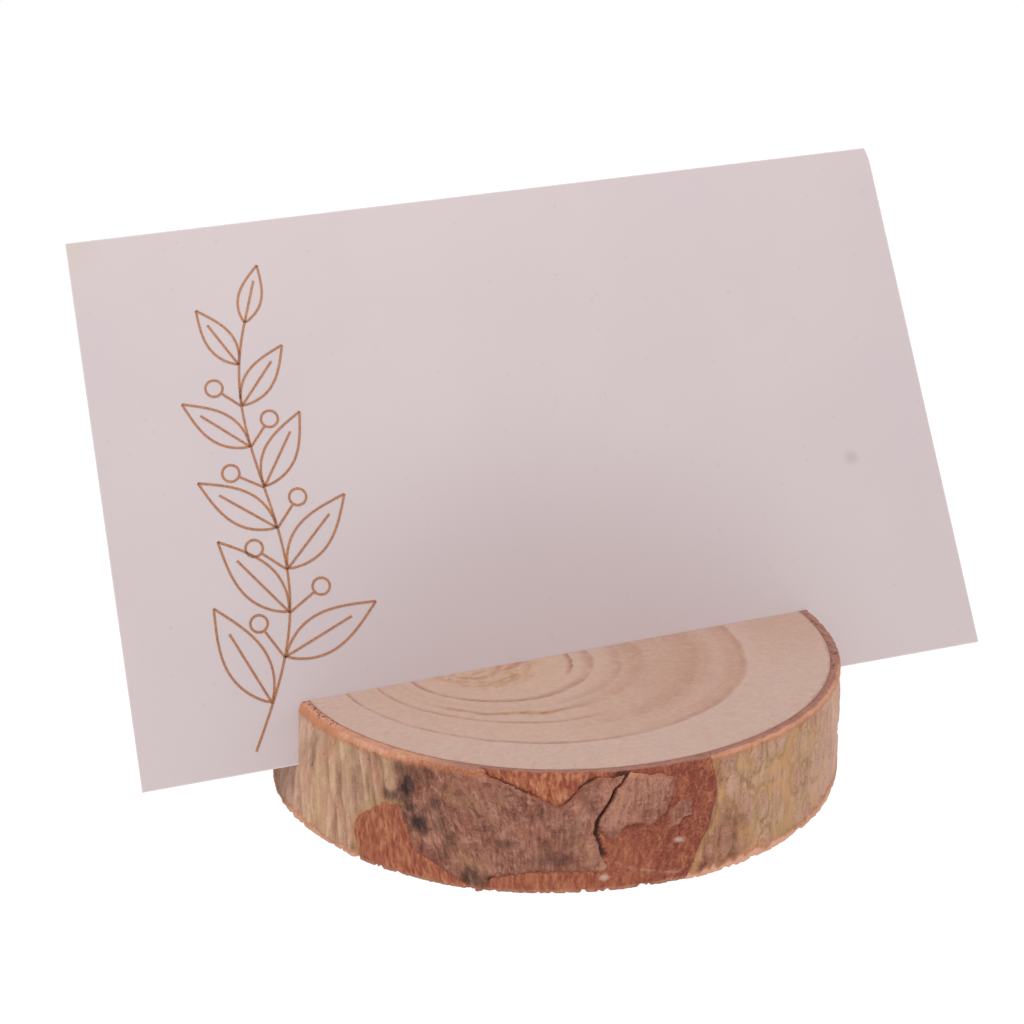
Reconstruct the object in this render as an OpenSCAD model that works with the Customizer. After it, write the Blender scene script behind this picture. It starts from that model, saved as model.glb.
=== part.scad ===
// Place card holder: a round slice of branch with its bark on, and one leaning
// saw slot across the top that holds a printed card.
// The origin is the middle of the underside. +X runs along the slot, +Y is the
// way the card leans, +Z is up.

/* [Slice] */
// Thickness of the slice
slice_t = 10.7; // [8.5:0.1:16]
// Mean radius of the bare wood at the top face
wood_r = 27; // [23:0.5:33]
// How much wider in radius the wood is at the underside than at the top
flare = 1.15; // [0:0.05:2]
// How far the top face sits to the right of the underside, as the branch was sawn aslant
top_x = 2.2; // [0:0.1:4]
// Share by which the outline is oval
oval = 0.058; // [0:0.002:0.09]
// Direction of the oval's long axis, in degrees
oval_dir = -54; // [-90:1:90]
// Share by which the outline is three-cornered
corner3 = 0.027; // [0:0.001:0.04]
// Direction of the first of the three corners, in degrees
corner3_dir = 42; // [0:1:119]
// Share by which the outline is four-cornered
corner4 = 0.009; // [0:0.001:0.02]
// Direction of the first of the four corners, in degrees
corner4_dir = 46; // [0:1:89]

/* [Bark] */
// Thickness of the inner bark, the soft layer that wraps the wood
inner_bark_t = 0.4; // [0.3:0.05:0.8]
// Thickness of the outer bark plates
outer_bark_t = 0.5; // [0.4:0.05:1]
// How far the sander took the plates' top edge back
bevel_w = 0.12; // [0.05:0.01:0.35]
// Height of that sanded edge
bevel_h = 0.35; // [0.1:0.05:0.8]
// Width of the cracks between neighbouring plates, in degrees round the slice
crack = 0.7; // [0.4:0.1:1.5]

/* [Slot] */
// Width of the saw slot
slot_w = 0.6; // [0.5:0.05:1]
// Depth of the slot, straight down from the top face
slot_depth = 5.7; // [4:0.1:7]
// How far the slot leans back from upright, in degrees
slot_lean = 26; // [5:1:35]
// Where the slot's front edge crosses the top face, from the middle of the slice
slot_y = -1; // [-6:0.5:6]
// How far the slot's floor falls towards the right, in degrees
slot_fall = 0.5; // [0:0.1:1]

/* [Card] */
// Width of the card
card_w = 89; // [70:0.5:100]
// Height of the card
card_h = 57; // [45:0.5:75]
// Thickness of the card
card_t = 0.4; // [0.25:0.05:0.45]
// Where the card's middle stands along the slot
card_x = 2.7; // [-10:0.1:10]
// Width of the worn tip at the card's top right corner
tip_w = 0.3; // [0.2:0.1:2]
// Height of the worn tip
tip_h = 1.6; // [0.5:0.1:4]
// Gap between the card's face and the slot's front wall
front_gap = 0.05; // [0.04:0.01:0.05]
// Gap under the card at the floor of the slot
floor_gap = 0.02; // [0.01:0.01:0.1]

/* [Print] */
// Width of the foil lines
line_w = 0.26; // [0.2:0.02:0.5]
// How far the foil stands off the card
foil_t = 0.03; // [0.02:0.005:0.035]
// Distance of the sprig's foot from the card's left edge
sprig_x = 11.5; // [9:0.5:14]
// Height of the sprig's foot above the card's lower edge
sprig_foot = 2; // [1:0.5:6]
// Height of the sprig from its foot to its tip
sprig_h = 44; // [30:1:46]
// How far the sprig's tip sits to the right of its foot
sprig_bend = 8; // [2:0.5:12]
// How far the stem sways to the sides on its way up
sprig_sway = 3; // [0:0.5:4]
// Length of the lowest leaf
leaf_l = 12; // [8:0.5:14]
// Width of the lowest leaf
leaf_w = 4.6; // [3:0.1:6]
// Number of leaves on the stem
leaf_n = 9; // [5:1:11]
// Length of a berry's stalk
stalk_l = 3.6; // [2:0.2:5]
// Radius of a berry
berry_r = 1; // [0.7:0.1:1.6]

/* [Hidden] */
sides = 96;                       // flats round the wood
reach = 3 * (wood_r + flare);     // longer than the slice is wide
bond = 0.03;                      // hairline between a plate and the layer under it

// ---- outline of the branch ----
function outline(a) = 1 + oval * cos(2 * (a - oval_dir))
    + corner3 * cos(3 * (a - corner3_dir)) + corner4 * cos(4 * (a - corner4_dir));
// a point on the skin that lies "add" outside the wood, at angle a and height z
function skin(a, z, add) =
    let (r = (wood_r + flare * (1 - z / slice_t) + add) * outline(a))
    [top_x * z / slice_t + r * cos(a), r * sin(a), z];

// a leaning, flaring disc, "add" bigger than the wood
module round_of(add) {
    ring = [for (i = [0 : sides - 1]) i * 360 / sides];
    polyhedron(
        points = concat([for (a = ring) skin(a, 0, add)], [for (a = ring) skin(a, slice_t, add)]),
        faces = concat(
            [[for (i = [0 : sides - 1]) i]],
            [[for (i = [sides - 1 : -1 : 0]) sides + i]],
            [for (i = [0 : sides - 1]) let (j = (i + 1) % sides) [i, sides + i, sides + j, j]]));
}

// a leaning, flaring ring as tall as the slice, from "inside" to "outside" the wood's skin
module ring_of(inside, outside) {
    ring = [for (i = [0 : sides - 1]) i * 360 / sides];
    function at(k, i) = k * sides + i % sides;   // k: 0 inner foot, 1 outer foot, 2 outer head, 3 inner head
    polyhedron(
        points = concat(
            [for (a = ring) skin(a, 0, inside)], [for (a = ring) skin(a, 0, outside)],
            [for (a = ring) skin(a, slice_t, outside)], [for (a = ring) skin(a, slice_t, inside)]),
        faces = [for (k = [0 : 3]) for (i = [0 : sides - 1]) let (n = (k + 1) % 4) for (f = [
            [at(k, i), at(n, i), at(n, i + 1)],
            [at(k, i), at(n, i + 1), at(k, i + 1)]]) f]);
}

// ---- slot ----
// everything that lies along the slot: x along it, y through it, z up out of it
module slot_frame() {
    translate([0, slot_y - slot_depth * tan(slot_lean), slice_t - slot_depth])
        rotate([-slot_lean, 0, 0]) rotate([0, slot_fall, 0]) children();
}
module slot_cut() {
    slot_frame() translate([-reach, 0, 0]) cube([2 * reach, slot_w, reach]);
}

module wood_slice() {
    color([0.78, 0.66, 0.59]) difference() {
        round_of(0);
        slot_cut();
    }
}

module inner_bark() {
    color([0.66, 0.36, 0.22]) difference() {
        ring_of(0, inner_bark_t);
        slot_cut();
    }
}

// ---- outer bark ----
// One plate. left and right give the angle of its two edges by share of the slice's
// height; foot and head give the height of its lower and upper edges, as a share of the
// slice's, by share of the plate's width.
function plate_grid(left, right, foot, head, n, m) =
    [for (j = [0 : m]) [for (i = [0 : n])
        let (u = i / n, s = j / m,
             h = lookup(u, foot) * (1 - s) + lookup(u, head) * s)
        [lookup(h, left) * (1 - u) + lookup(h, right) * u, slice_t * h]]];
function sanded(z) = bevel_w * max(0, z - slice_t + bevel_h) / bevel_h;
module plate(left, right, foot, head) {
    n = ceil(abs(right[0][1] - left[0][1]) / 3.75);
    m = 10;
    g = plate_grid(left, right, foot, head, n, m);
    w = n + 1;
    count = w * (m + 1);
    base = inner_bark_t + bond;
    function at(j, i) = j * w + i;
    polyhedron(
        points = concat(
            [for (row = g) for (p = row) skin(p[0], p[1], base)],
            [for (row = g) for (p = row) skin(p[0], p[1], base + outer_bark_t - sanded(p[1]))]),
        faces = concat(
            [for (j = [0 : m - 1]) for (i = [0 : n - 1]) for (f = [
                [at(j, i), at(j, i + 1), at(j + 1, i + 1)],
                [at(j, i), at(j + 1, i + 1), at(j + 1, i)]]) f],
            [for (j = [0 : m - 1]) for (i = [0 : n - 1]) for (f = [
                [at(j, i), at(j + 1, i + 1), at(j, i + 1)],
                [at(j, i), at(j + 1, i), at(j + 1, i + 1)]]) [for (v = f) v + count]],
            [for (i = [0 : n - 1]) for (f = [
                [at(0, i), at(0, i) + count, at(0, i + 1) + count],
                [at(0, i), at(0, i + 1) + count, at(0, i + 1)],
                [at(m, i), at(m, i + 1) + count, at(m, i) + count],
                [at(m, i), at(m, i + 1), at(m, i + 1) + count]]) f],
            [for (j = [0 : m - 1]) for (f = [
                [at(j, 0), at(j + 1, 0) + count, at(j, 0) + count],
                [at(j, 0), at(j + 1, 0), at(j + 1, 0) + count],
                [at(j, n), at(j, n) + count, at(j + 1, n) + count],
                [at(j, n), at(j + 1, n) + count, at(j + 1, n)]]) f]));
}

whole = [[0, 0], [1, 0]];
top = [[0, 1], [1, 1]];
// the main crack, its angle by height share, and the other edges
crack_main = [[0, -94.6], [0.35, -94.6], [0.5, -96.4], [0.62, -96.2], [0.8, -94], [1, -91.6]];
edge_left = [[0, -205], [1, -203]];
edge_front = [[0, -126], [0.3, -130], [0.55, -134], [1, -132]];
edge_middle = [[0, -86], [0.3, -85.6], [0.6, -85], [1, -82.6]];
edge_flake_left = [[0, -84.4], [1, -83.8]];
edge_flake_right = [[0, -80.4], [1, -79.4]];
edge_right = [[0, -81.7], [0.2, -80.2], [0.4, -78.2], [0.7, -76.7], [1, -78.7]];
edge_back_right = [[0, 14], [0.5, 16], [1, 13]];
edge_back = [[0, 66], [0.4, 62], [1, 64]];
edge_back_left = [[0, 108], [0.5, 112], [1, 109]];

function shift(edge, by) = [for (p = edge) [p[0], p[1] + by]];

module bark_left() {
    color([0.60, 0.53, 0.42]) difference() {
        plate(edge_left, shift(edge_front, -crack), [[0, 0], [0.72, 0], [0.78, 0.3], [0.9, 0.5], [1, 0.55]], top);
        slot_cut();
    }
}
module bark_front() {
    color([0.55, 0.40, 0.35]) plate(edge_front, shift(crack_main, -crack),
        [[0, 0.2], [0.1, 0.08], [0.2, 0], [0.28, 0], [0.36, 0.12], [0.6, 0.17], [1, 0.17]],
        [[0, 1], [0.3, 1], [0.34, 0.94], [0.52, 0.87], [0.68, 0.78], [0.74, 0.8], [0.78, 0.96], [1, 1]]);
}
module bark_middle() {
    color([0.62, 0.42, 0.36]) plate(crack_main, edge_middle,
        [[0, 0.38], [0.2, 0.4], [0.35, 0.58], [0.6, 0.6], [0.75, 0.5], [1, 0.62]],
        [[0, 1], [0.55, 0.97], [0.7, 0.93], [1, 0.9]]);
}
module bark_flake() {
    color([0.60, 0.38, 0.32]) plate(edge_flake_left, edge_flake_right,
        [[0, 0.48], [0.5, 0.5], [1, 0.56]], [[0, 0.66], [0.5, 0.76], [1, 0.7]]);
}
module bark_right() {
    color([0.62, 0.53, 0.40]) difference() {
        plate(shift(edge_right, crack), edge_back_right, whole, top);
        slot_cut();
    }
}
module bark_back_right() {
    color([0.56, 0.46, 0.37]) plate(shift(edge_back_right, crack), edge_back, whole, top);
}
module bark_back() {
    color([0.54, 0.43, 0.36]) plate(shift(edge_back, crack), edge_back_left, whole, top);
}
module bark_back_left() {
    color([0.57, 0.47, 0.38]) plate(shift(edge_back_left, crack), shift(edge_left, 360 - crack), whole, top);
}

// ---- card ----
// the card's own frame: x from its left edge, y through it from its face, z from its foot
module card_frame() {
    slot_frame() translate([card_x - card_w / 2, front_gap, floor_gap]) children();
}
// stands a flat piece (x along the card, y up it, t thick) up in the card's plane
module upright(t) {
    rotate([90, 0, 0]) translate([0, 0, -t]) children();
}
module place_card() {
    color([0.85, 0.80, 0.80]) card_frame() upright(card_t) linear_extrude(card_t)
        polygon([[0, 0], [card_w, 0], [card_w, card_h - tip_h], [card_w - tip_w, card_h], [0, card_h]]);
}

// ---- foil print ----
function stem(s) = [sprig_x + sprig_bend * s + sprig_sway * sin(300 * s), sprig_foot + sprig_h * s];
function along(s) = let (d = stem(s + 0.01) - stem(s - 0.01)) atan2(d[1], d[0]);
// half the width of a leaf at share s of its length
function leaf_half(s) = sin(180 * pow(s, 0.8));
module leaf_blade(l, w, inset) {
    k = 9;
    polygon(concat(
        [for (i = [0 : k]) [inset * 1.6 + (l - 3.2 * inset) * i / k, (w / 2 - inset) * leaf_half(i / k)]],
        [for (i = [k - 1 : -1 : 1]) [inset * 1.6 + (l - 3.2 * inset) * i / k, -(w / 2 - inset) * leaf_half(i / k)]]));
}
module foil() {
    linear_extrude(foil_t) children();
}
module leaf(l, w) {
    difference() {
        foil() leaf_blade(l, w, 0);
        translate([0, 0, -foil_t]) linear_extrude(3 * foil_t) leaf_blade(l, w, line_w);
    }
    foil() translate([0, -line_w / 2]) square([l * 0.72, line_w]);
}
module berry(stalk) {
    foil() translate([0, -line_w / 2]) square([stalk + line_w / 2, line_w]);
    translate([stalk + berry_r, 0, 0]) difference() {
        cylinder(r = berry_r, h = foil_t, $fn = 32);
        translate([0, 0, -foil_t]) cylinder(r = berry_r - line_w, h = 3 * foil_t, $fn = 32);
    }
}
module sprig() {
    k = 26;
    half = line_w / 2;
    foil() polygon(concat(
        [for (i = [0 : k]) stem(i / k) + half * [-sin(along(i / k)), cos(along(i / k))]],
        [for (i = [k : -1 : 0]) stem(i / k) - half * [-sin(along(i / k)), cos(along(i / k))]]));
    for (i = [0 : leaf_n - 1]) {
        s = 0.1 + 0.8 * i / (leaf_n - 1);
        side = i % 2 == 0 ? 1 : -1;
        size = 1 - 0.42 * s;
        translate(stem(s)) rotate(along(s) + side * (50 - 12 * s)) leaf(leaf_l * size, leaf_w * size);
        if (i > 0 && i < leaf_n - 1)
            translate(stem(s)) rotate(along(s) - side * 48) berry(stalk_l * size);
    }
    translate(stem(1)) rotate(along(1)) translate([-line_w, 0]) leaf(leaf_l * 0.55, leaf_w * 0.55);
}
module card_print() {
    color([0.66, 0.42, 0.30]) card_frame() translate([0, -foil_t, 0]) upright(foil_t) sprig();
}

wood_slice();
inner_bark();
bark_left();
bark_front();
bark_middle();
bark_flake();
bark_right();
bark_back_right();
bark_back();
bark_back_left();
place_card();
card_print();
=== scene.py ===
import math

import bpy
import numpy as np
from mathutils import Matrix, Vector


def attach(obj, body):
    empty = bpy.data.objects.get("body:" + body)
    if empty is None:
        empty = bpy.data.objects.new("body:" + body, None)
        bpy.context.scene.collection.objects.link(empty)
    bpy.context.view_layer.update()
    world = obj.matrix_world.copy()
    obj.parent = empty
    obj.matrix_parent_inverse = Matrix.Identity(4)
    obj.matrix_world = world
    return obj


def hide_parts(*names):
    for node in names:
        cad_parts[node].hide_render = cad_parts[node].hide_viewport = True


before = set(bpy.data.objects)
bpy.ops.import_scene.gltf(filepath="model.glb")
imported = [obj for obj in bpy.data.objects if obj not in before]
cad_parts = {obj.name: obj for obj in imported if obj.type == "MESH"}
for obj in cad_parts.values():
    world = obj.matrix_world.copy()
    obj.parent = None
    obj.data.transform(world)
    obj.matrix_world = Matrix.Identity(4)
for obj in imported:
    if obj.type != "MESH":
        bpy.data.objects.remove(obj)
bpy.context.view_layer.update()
mm = 0.001
print("cad frame loaded:", len(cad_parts), "nodes")

# sizes in millimetres and degrees, as in the part's own source
sliceShape = {
    "height": 10.7, "woodRadius": 27.0, "flare": 1.15, "topShift": 2.2,
    "oval": 0.058, "ovalTurn": -54, "threeCorner": 0.027, "threeTurn": 42,
    "fourCorner": 0.009, "fourTurn": 46,
    "innerBark": 0.4, "hairline": 0.02, "outerBark": 0.5,
}
slotShape = {"width": 0.6, "depth": 5.7, "lean": 26, "mouthY": -1.0, "floorFall": 0.5, "reach": 84.0}


# small tools: colour, noise and meshes
def tint(red, green, blue):
    # a screen colour, 0 to 255, as the linear colour that shaders use
    shares = [value / 255 for value in (red, green, blue)]
    return (*(s / 12.92 if s <= 0.04045 else ((s + 0.055) / 1.055) ** 2.4 for s in shares), 1.0)


def tints(**colours):
    return {name: tint(*colour) for name, colour in colours.items()}


def smoothStep(low, high, value):
    t = np.clip((value - low) / (high - low), 0, 1)
    return t * t * (3 - 2 * t)


def latticeValue(ix, iy, iz, seed):
    # a fixed random number from 0 to 1 for each corner of a lattice
    n = (ix * 73856093) ^ (iy * 19349663) ^ (iz * 83492791) ^ (seed * 2654435)
    n = n & 0xFFFFFFFF
    n = ((n ^ (n >> 15)) * 2246822519) & 0xFFFFFFFF
    n = ((n ^ (n >> 13)) * 3266489917) & 0xFFFFFFFF
    return ((n ^ (n >> 16)) & 0xFFFFFF) / 16777215.0


def cloud(x, y, z, seed):
    # smooth random field, 0 to 1
    axes = np.broadcast_arrays(np.asarray(x, float), np.asarray(y, float), np.asarray(z, float))
    cells = [np.floor(axis).astype(np.int64) for axis in axes]
    inside = [axis - cell for axis, cell in zip(axes, cells)]
    ease = [t * t * t * (t * (6 * t - 15) + 10) for t in inside]
    total = np.zeros(axes[0].shape)
    for ox in (0, 1):
        for oy in (0, 1):
            for oz in (0, 1):
                weight = (ease[0] if ox else 1 - ease[0]) * (ease[1] if oy else 1 - ease[1])
                weight = weight * (ease[2] if oz else 1 - ease[2])
                total += weight * latticeValue(cells[0] + ox, cells[1] + oy, cells[2] + oz, seed)
    return total


def layeredCloud(x, y, z, seed, layers=3, fade=0.5):
    total, weight, reach = 0.0, 1.0, 0.0
    for layer in range(layers):
        total = total + weight * cloud(x * 2 ** layer, y * 2 ** layer, z * 2 ** layer, seed + layer)
        reach += weight
        weight *= fade
    return total / reach


def wobble(*place, **layering):
    # the same field about zero
    return layeredCloud(*place, **layering) - 0.5


def folds(x, y, seed):
    # ridges that run where the field crosses its middle
    return 1 - np.abs(2 * cloud(x, y, 0, seed) - 1)


def cellField(x, y, seed, jitter):
    # distance to the nearest cell's middle, and a tone for each cell
    ix, iy = np.floor(x).astype(np.int64), np.floor(y).astype(np.int64)
    near, tone = np.full(x.shape, 9.0), np.zeros(x.shape)
    for ox in (-1, 0, 1):
        for oy in (-1, 0, 1):
            cx, cy = ix + ox, iy + oy
            px = cx + 0.5 + jitter * (latticeValue(cx, cy, 0 * cx, seed) - 0.5)
            py = cy + 0.5 + jitter * (latticeValue(cx, cy, 0 * cx + 7, seed) - 0.5)
            away = np.hypot(x - px, y - py)
            tone = np.where(away < near, latticeValue(cx, cy, 0 * cx + 13, seed), tone)
            near = np.minimum(near, away)
    return near, tone


def shellFaces(around, across, closed):
    # quads between neighbouring loops; closed joins the last column to the first
    ring, column = np.arange(around)[:, None], np.arange(across if closed else across - 1)
    nextRing, nextColumn = (ring + 1) % around, (column + 1) % across
    corners = (ring, column), (ring, nextColumn), (nextRing, nextColumn), (nextRing, column)
    return np.stack([loop * across + place for loop, place in corners], axis=-1).reshape(-1, 4)


def meshFrom(name, points, *faceGroups):
    # points in millimetres; the faces of one group all have as many corners
    mesh = bpy.data.meshes.new(name)
    mesh.vertices.add(len(points))
    mesh.vertices.foreach_set("co", (points * mm).astype(np.float32).ravel())
    groups = [np.asarray(group, np.int32) for group in faceGroups if len(group)]
    sizes = np.concatenate([np.full(len(group), group.shape[1], np.int32) for group in groups])
    corners = np.concatenate([group.ravel() for group in groups])
    mesh.loops.add(len(corners))
    mesh.loops.foreach_set("vertex_index", corners)
    mesh.polygons.add(len(sizes))
    mesh.polygons.foreach_set("loop_start", (np.cumsum(sizes) - sizes).astype(np.int32))
    mesh.update(calc_edges=True)
    mesh.validate()
    return mesh


def pointsOf(mesh):
    flat = np.zeros(len(mesh.vertices) * 3, np.float32)
    mesh.vertices.foreach_get("co", flat)
    return flat.reshape(-1, 3).astype(float) / mm


def putAttributes(mesh, **fields):
    # one number, or three, for each point
    for name, values in fields.items():
        values = np.asarray(values, np.float32)
        kind, field = ("FLOAT_VECTOR", "vector") if values.ndim == 2 else ("FLOAT", "value")
        mesh.attributes.new(name, kind, "POINT").data.foreach_set(field, values.ravel())


def placed(name, data):
    item = bpy.data.objects.new(name, data)
    bpy.context.scene.collection.objects.link(item)
    return item


def plainMesh(item, name):
    # what an object's modifiers make of it, as a mesh; the object goes
    mesh = bpy.data.meshes.new_from_object(item.evaluated_get(bpy.context.evaluated_depsgraph_get()))
    mesh.name = name
    item.modifiers.clear()
    bpy.data.objects.remove(item)
    return mesh


def finishPiece(name, mesh, body, cadNodes, material, sharpAngle):
    piece = placed(name, mesh)
    mesh.materials.clear()
    mesh.materials.append(material)
    mesh.shade_smooth()
    mesh.set_sharp_from_angle(angle=math.radians(sharpAngle))
    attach(piece, body)
    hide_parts(*cadNodes)
    print("  made", name, len(mesh.vertices), "points")


# the branch's outline, its skin and the leaning slot
def outlineShare(turn):
    s = sliceShape
    return (1 + s["oval"] * np.cos(np.radians(2 * (turn - s["ovalTurn"])))
            + s["threeCorner"] * np.cos(np.radians(3 * (turn - s["threeTurn"])))
            + s["fourCorner"] * np.cos(np.radians(4 * (turn - s["fourTurn"]))))


def skinPoint(turn, z, out):
    # turn in degrees round the slice, z up, out from the wood's own skin
    s = sliceShape
    radius = (s["woodRadius"] + s["flare"] * (1 - z / s["height"]) + out) * outlineShare(turn)
    across = s["topShift"] * z / s["height"] + radius * np.cos(np.radians(turn))
    return np.stack([across, radius * np.sin(np.radians(turn)), z + 0 * turn], axis=-1)


def skinPlace(points):
    # the other way: turn, z and out of a point
    s = sliceShape
    x, y, z = points[:, 0] - s["topShift"] * points[:, 2] / s["height"], points[:, 1], points[:, 2]
    turn = np.degrees(np.arctan2(y, x))
    turn = np.where(turn > 120, turn - 360, turn)
    out = np.hypot(x, y) / outlineShare(turn) - s["woodRadius"] - s["flare"] * (1 - z / s["height"])
    return turn, z, out


def slotPlacement():
    s, lean = slotShape, math.radians(slotShape["lean"])
    foot = (0, s["mouthY"] - s["depth"] * math.tan(lean), sliceShape["height"] - s["depth"])
    turn = Matrix.Rotation(-lean, 4, "X") @ Matrix.Rotation(math.radians(s["floorFall"]), 4, "Y")
    return Matrix.Translation(foot) @ turn


slotMatrix = slotPlacement()
sawMiddle = slotMatrix @ Matrix.Translation((0, slotShape["width"] / 2, slotShape["reach"] / 2))
sawSize = np.array([2 * slotShape["reach"], slotShape["width"], slotShape["reach"]])


def sawnThrough(mesh):
    # takes the leaning slot out of a mesh
    saw = placed("saw", bpy.data.meshes.new("saw"))
    middle = Matrix.Translation(sawMiddle.translation * mm) @ sawMiddle.to_3x3().to_4x4()
    ends = (-0.5, 0.5)
    corners = np.array([[x, y, z] for x in ends for y in ends for z in ends]) * sawSize * mm
    faces = [(0, 1, 3, 2), (4, 6, 7, 5), (0, 4, 5, 1), (2, 3, 7, 6), (0, 2, 6, 4), (1, 5, 7, 3)]
    saw.data.from_pydata([middle @ Vector(corner) for corner in corners], [], faces)
    sawn = placed("sawn", mesh)
    cut = sawn.modifiers.new("slot", "BOOLEAN")
    cut.operation, cut.solver, cut.object = "DIFFERENCE", "EXACT", saw
    result = plainMesh(sawn, mesh.name)
    bpy.data.objects.remove(saw)
    return result


# node tools: a wire is a node's output, and sums written with wires become Math nodes
class Wire:
    def __init__(self, socket):
        self.socket, self.tree = socket, socket.id_data

    def __add__(self, other):
        return calc("ADD", self, other)

    def __radd__(self, other):
        return calc("ADD", other, self)

    def __sub__(self, other):
        return calc("SUBTRACT", self, other)

    def __rsub__(self, other):
        return calc("SUBTRACT", other, self)

    def __mul__(self, other):
        return calc("MULTIPLY", self, other)

    def __truediv__(self, other):
        return calc("DIVIDE", self, other)

    def __rtruediv__(self, other):
        return calc("DIVIDE", other, self)


def feed(node, inputs):
    # an input takes a wire, a list of wires or a plain value
    for key, value in inputs.items():
        if not isinstance(value, (Wire, list)):
            node.inputs[key].default_value = value
            continue
        for each in value if isinstance(value, list) else [value]:
            each.tree.links.new(each.socket, node.inputs[key])


def addNode(tree, kind, inputs=None, **settings):
    node = tree.nodes.new(kind)
    for key, value in settings.items():
        setattr(node, key, value)
    feed(node, inputs or {})
    return node


def wire(tree, kind, inputs=None, output=0, **settings):
    return Wire(addNode(tree, kind, inputs, **settings).outputs[output])


def wiresOf(node):
    return {socket.name: Wire(socket) for socket in node.outputs}


def treeOf(*values):
    return next(value.tree for value in values if isinstance(value, Wire))


def calc(operation, *values, clamp=False):
    inputs = dict(enumerate(values))
    return wire(treeOf(*values), "ShaderNodeMath", inputs, operation=operation, use_clamp=clamp)


def vectorCalc(operation, *values, output=0):
    inputs = dict(enumerate(values))
    return wire(treeOf(*values), "ShaderNodeVectorMath", inputs, output, operation=operation)


def vectorOf(tree, x=0.0, y=0.0, z=0.0):
    return wire(tree, "ShaderNodeCombineXYZ", {"X": x, "Y": y, "Z": z})


def splitUp(vector):
    return wiresOf(addNode(vector.tree, "ShaderNodeSeparateXYZ", {0: vector})).values()


def remap(value, low, high, toLow=0.0, toHigh=1.0, smooth=True):
    inputs = {"Value": value, "From Min": low, "From Max": high, "To Min": toLow, "To Max": toHigh}
    kind = "SMOOTHSTEP" if smooth else "LINEAR"
    return wire(value.tree, "ShaderNodeMapRange", inputs, interpolation_type=kind)


def evenly(value, low, high, toLow, toHigh):
    return remap(value, low, high, toLow, toHigh, smooth=False)


def blend(share, first, second, way="MIX"):
    inputs = {0: share, 6: first, 7: second}
    return wire(treeOf(share, first, second), "ShaderNodeMix", inputs, 2, data_type="RGBA", blend_type=way)


def layered(base, look, *layers):
    # each layer is how much of which tone, by name or as a wire, lies over what is there
    for share, tone in layers:
        base = blend(share, base, look[tone] if isinstance(tone, str) else tone)
    return base


def colourRamp(value, *stops):
    node = addNode(value.tree, "ShaderNodeValToRGB", {"Fac": value})
    points = node.color_ramp.elements
    while len(points) < len(stops):
        points.new(0.5)
    for point, (place, colour) in zip(points, stops):
        point.position = place
        point.color = colour
    return Wire(node.outputs["Color"])


def readField(tree, name):
    return wire(tree, "ShaderNodeAttribute", output="Fac", attribute_name=name)


def barkPlace(tree):
    # round, up and out from the wood, in millimetres along the lie of the bark
    return wire(tree, "ShaderNodeAttribute", output="Vector", attribute_name="barkPlace")


def objectPlace(tree):
    return wire(tree, "ShaderNodeTexCoord", output="Object")


def noise(place, scale, detail=3.0, roughness=0.55, distortion=0.0):
    inputs = {"Vector": place, "Scale": scale, "Detail": detail, "Roughness": roughness,
              "Distortion": distortion}
    return wire(place.tree, "ShaderNodeTexNoise", inputs, "Fac")


def newTree(name, kind, inputs, outputs):
    # inputs and outputs hold the sockets' names by the sockets' kind
    tree = bpy.data.node_groups.new(name, kind + "NodeTree")
    for side, sockets in (("INPUT", inputs), ("OUTPUT", outputs)):
        for socketKind, names in sockets.items():
            for socketName in names:
                tree.interface.new_socket(socketName, in_out=side, socket_type="NodeSocket" + socketKind)
    return tree, wiresOf(tree.nodes.new("NodeGroupInput"))


def useGroup(tree, group, inputs):
    return wiresOf(addNode(tree, "ShaderNodeGroup", inputs, node_tree=group))


def newMaterial(name):
    material = bpy.data.materials.new(name)
    material.use_nodes = True
    return material, material.node_tree


def dress(material, inputs, relief, depth, strength):
    # joins a finish to its shader; depth is how high the relief stands, in metres
    tree = material.node_tree
    bump = {"Height": relief, "Distance": depth, "Strength": strength}
    feed(tree.nodes["Principled BSDF"], {**inputs, "Normal": wire(tree, "ShaderNodeBump", bump, "Normal")})
    return material


# effects that several finishes share
def makeBarkGrain():
    # fibres that follow the lie of the bark, the larger drift of tone among them, and scattered strokes
    sizes = ["Fibre Scale", "Stretch", "Drift Scale", "Stroke Scale"]
    tree, given = newTree("barkGrain", "Shader", {"Float": sizes}, {"Float": ["Fibre", "Drift", "Strokes"]})
    place = barkPlace(tree)
    stretched = vectorCalc("MULTIPLY", place, vectorOf(tree, 1.0, 1.0 / given["Stretch"], 1.0))
    loose = vectorCalc("MULTIPLY", place, (1.0, 0.42, 1.0))
    addNode(tree, "NodeGroupOutput", {
        "Fibre": noise(stretched, given["Fibre Scale"], 4.0, 0.6, 0.2),
        "Drift": noise(place, given["Drift Scale"], 3.0, 0.5, 0.3),
        "Strokes": noise(loose, given["Stroke Scale"], 5.0, 0.68, 0.5)})
    return tree


def makeSpeckles():
    # scattered small spots, 1 in a spot and 0 between
    tree, given = newTree("speckles", "Shader", {"Float": ["Scale", "Share"]}, {"Float": ["Spots"]})
    cells = wiresOf(addNode(
        tree, "ShaderNodeTexVoronoi", {"Vector": objectPlace(tree), "Scale": given["Scale"]},
        voronoi_dimensions="3D", feature="F1"))
    pick = wire(tree, "ShaderNodeSeparateColor", {"Color": cells["Color"]})
    core = remap(cells["Distance"], 0.15, 0.42, 1.0, 0.0)
    addNode(tree, "NodeGroupOutput", {"Spots": calc("LESS_THAN", pick, given["Share"]) * core})
    return tree


def speckled(tree, scale, share):
    return useGroup(tree, speckles, {"Scale": scale, "Share": share})["Spots"]


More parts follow.
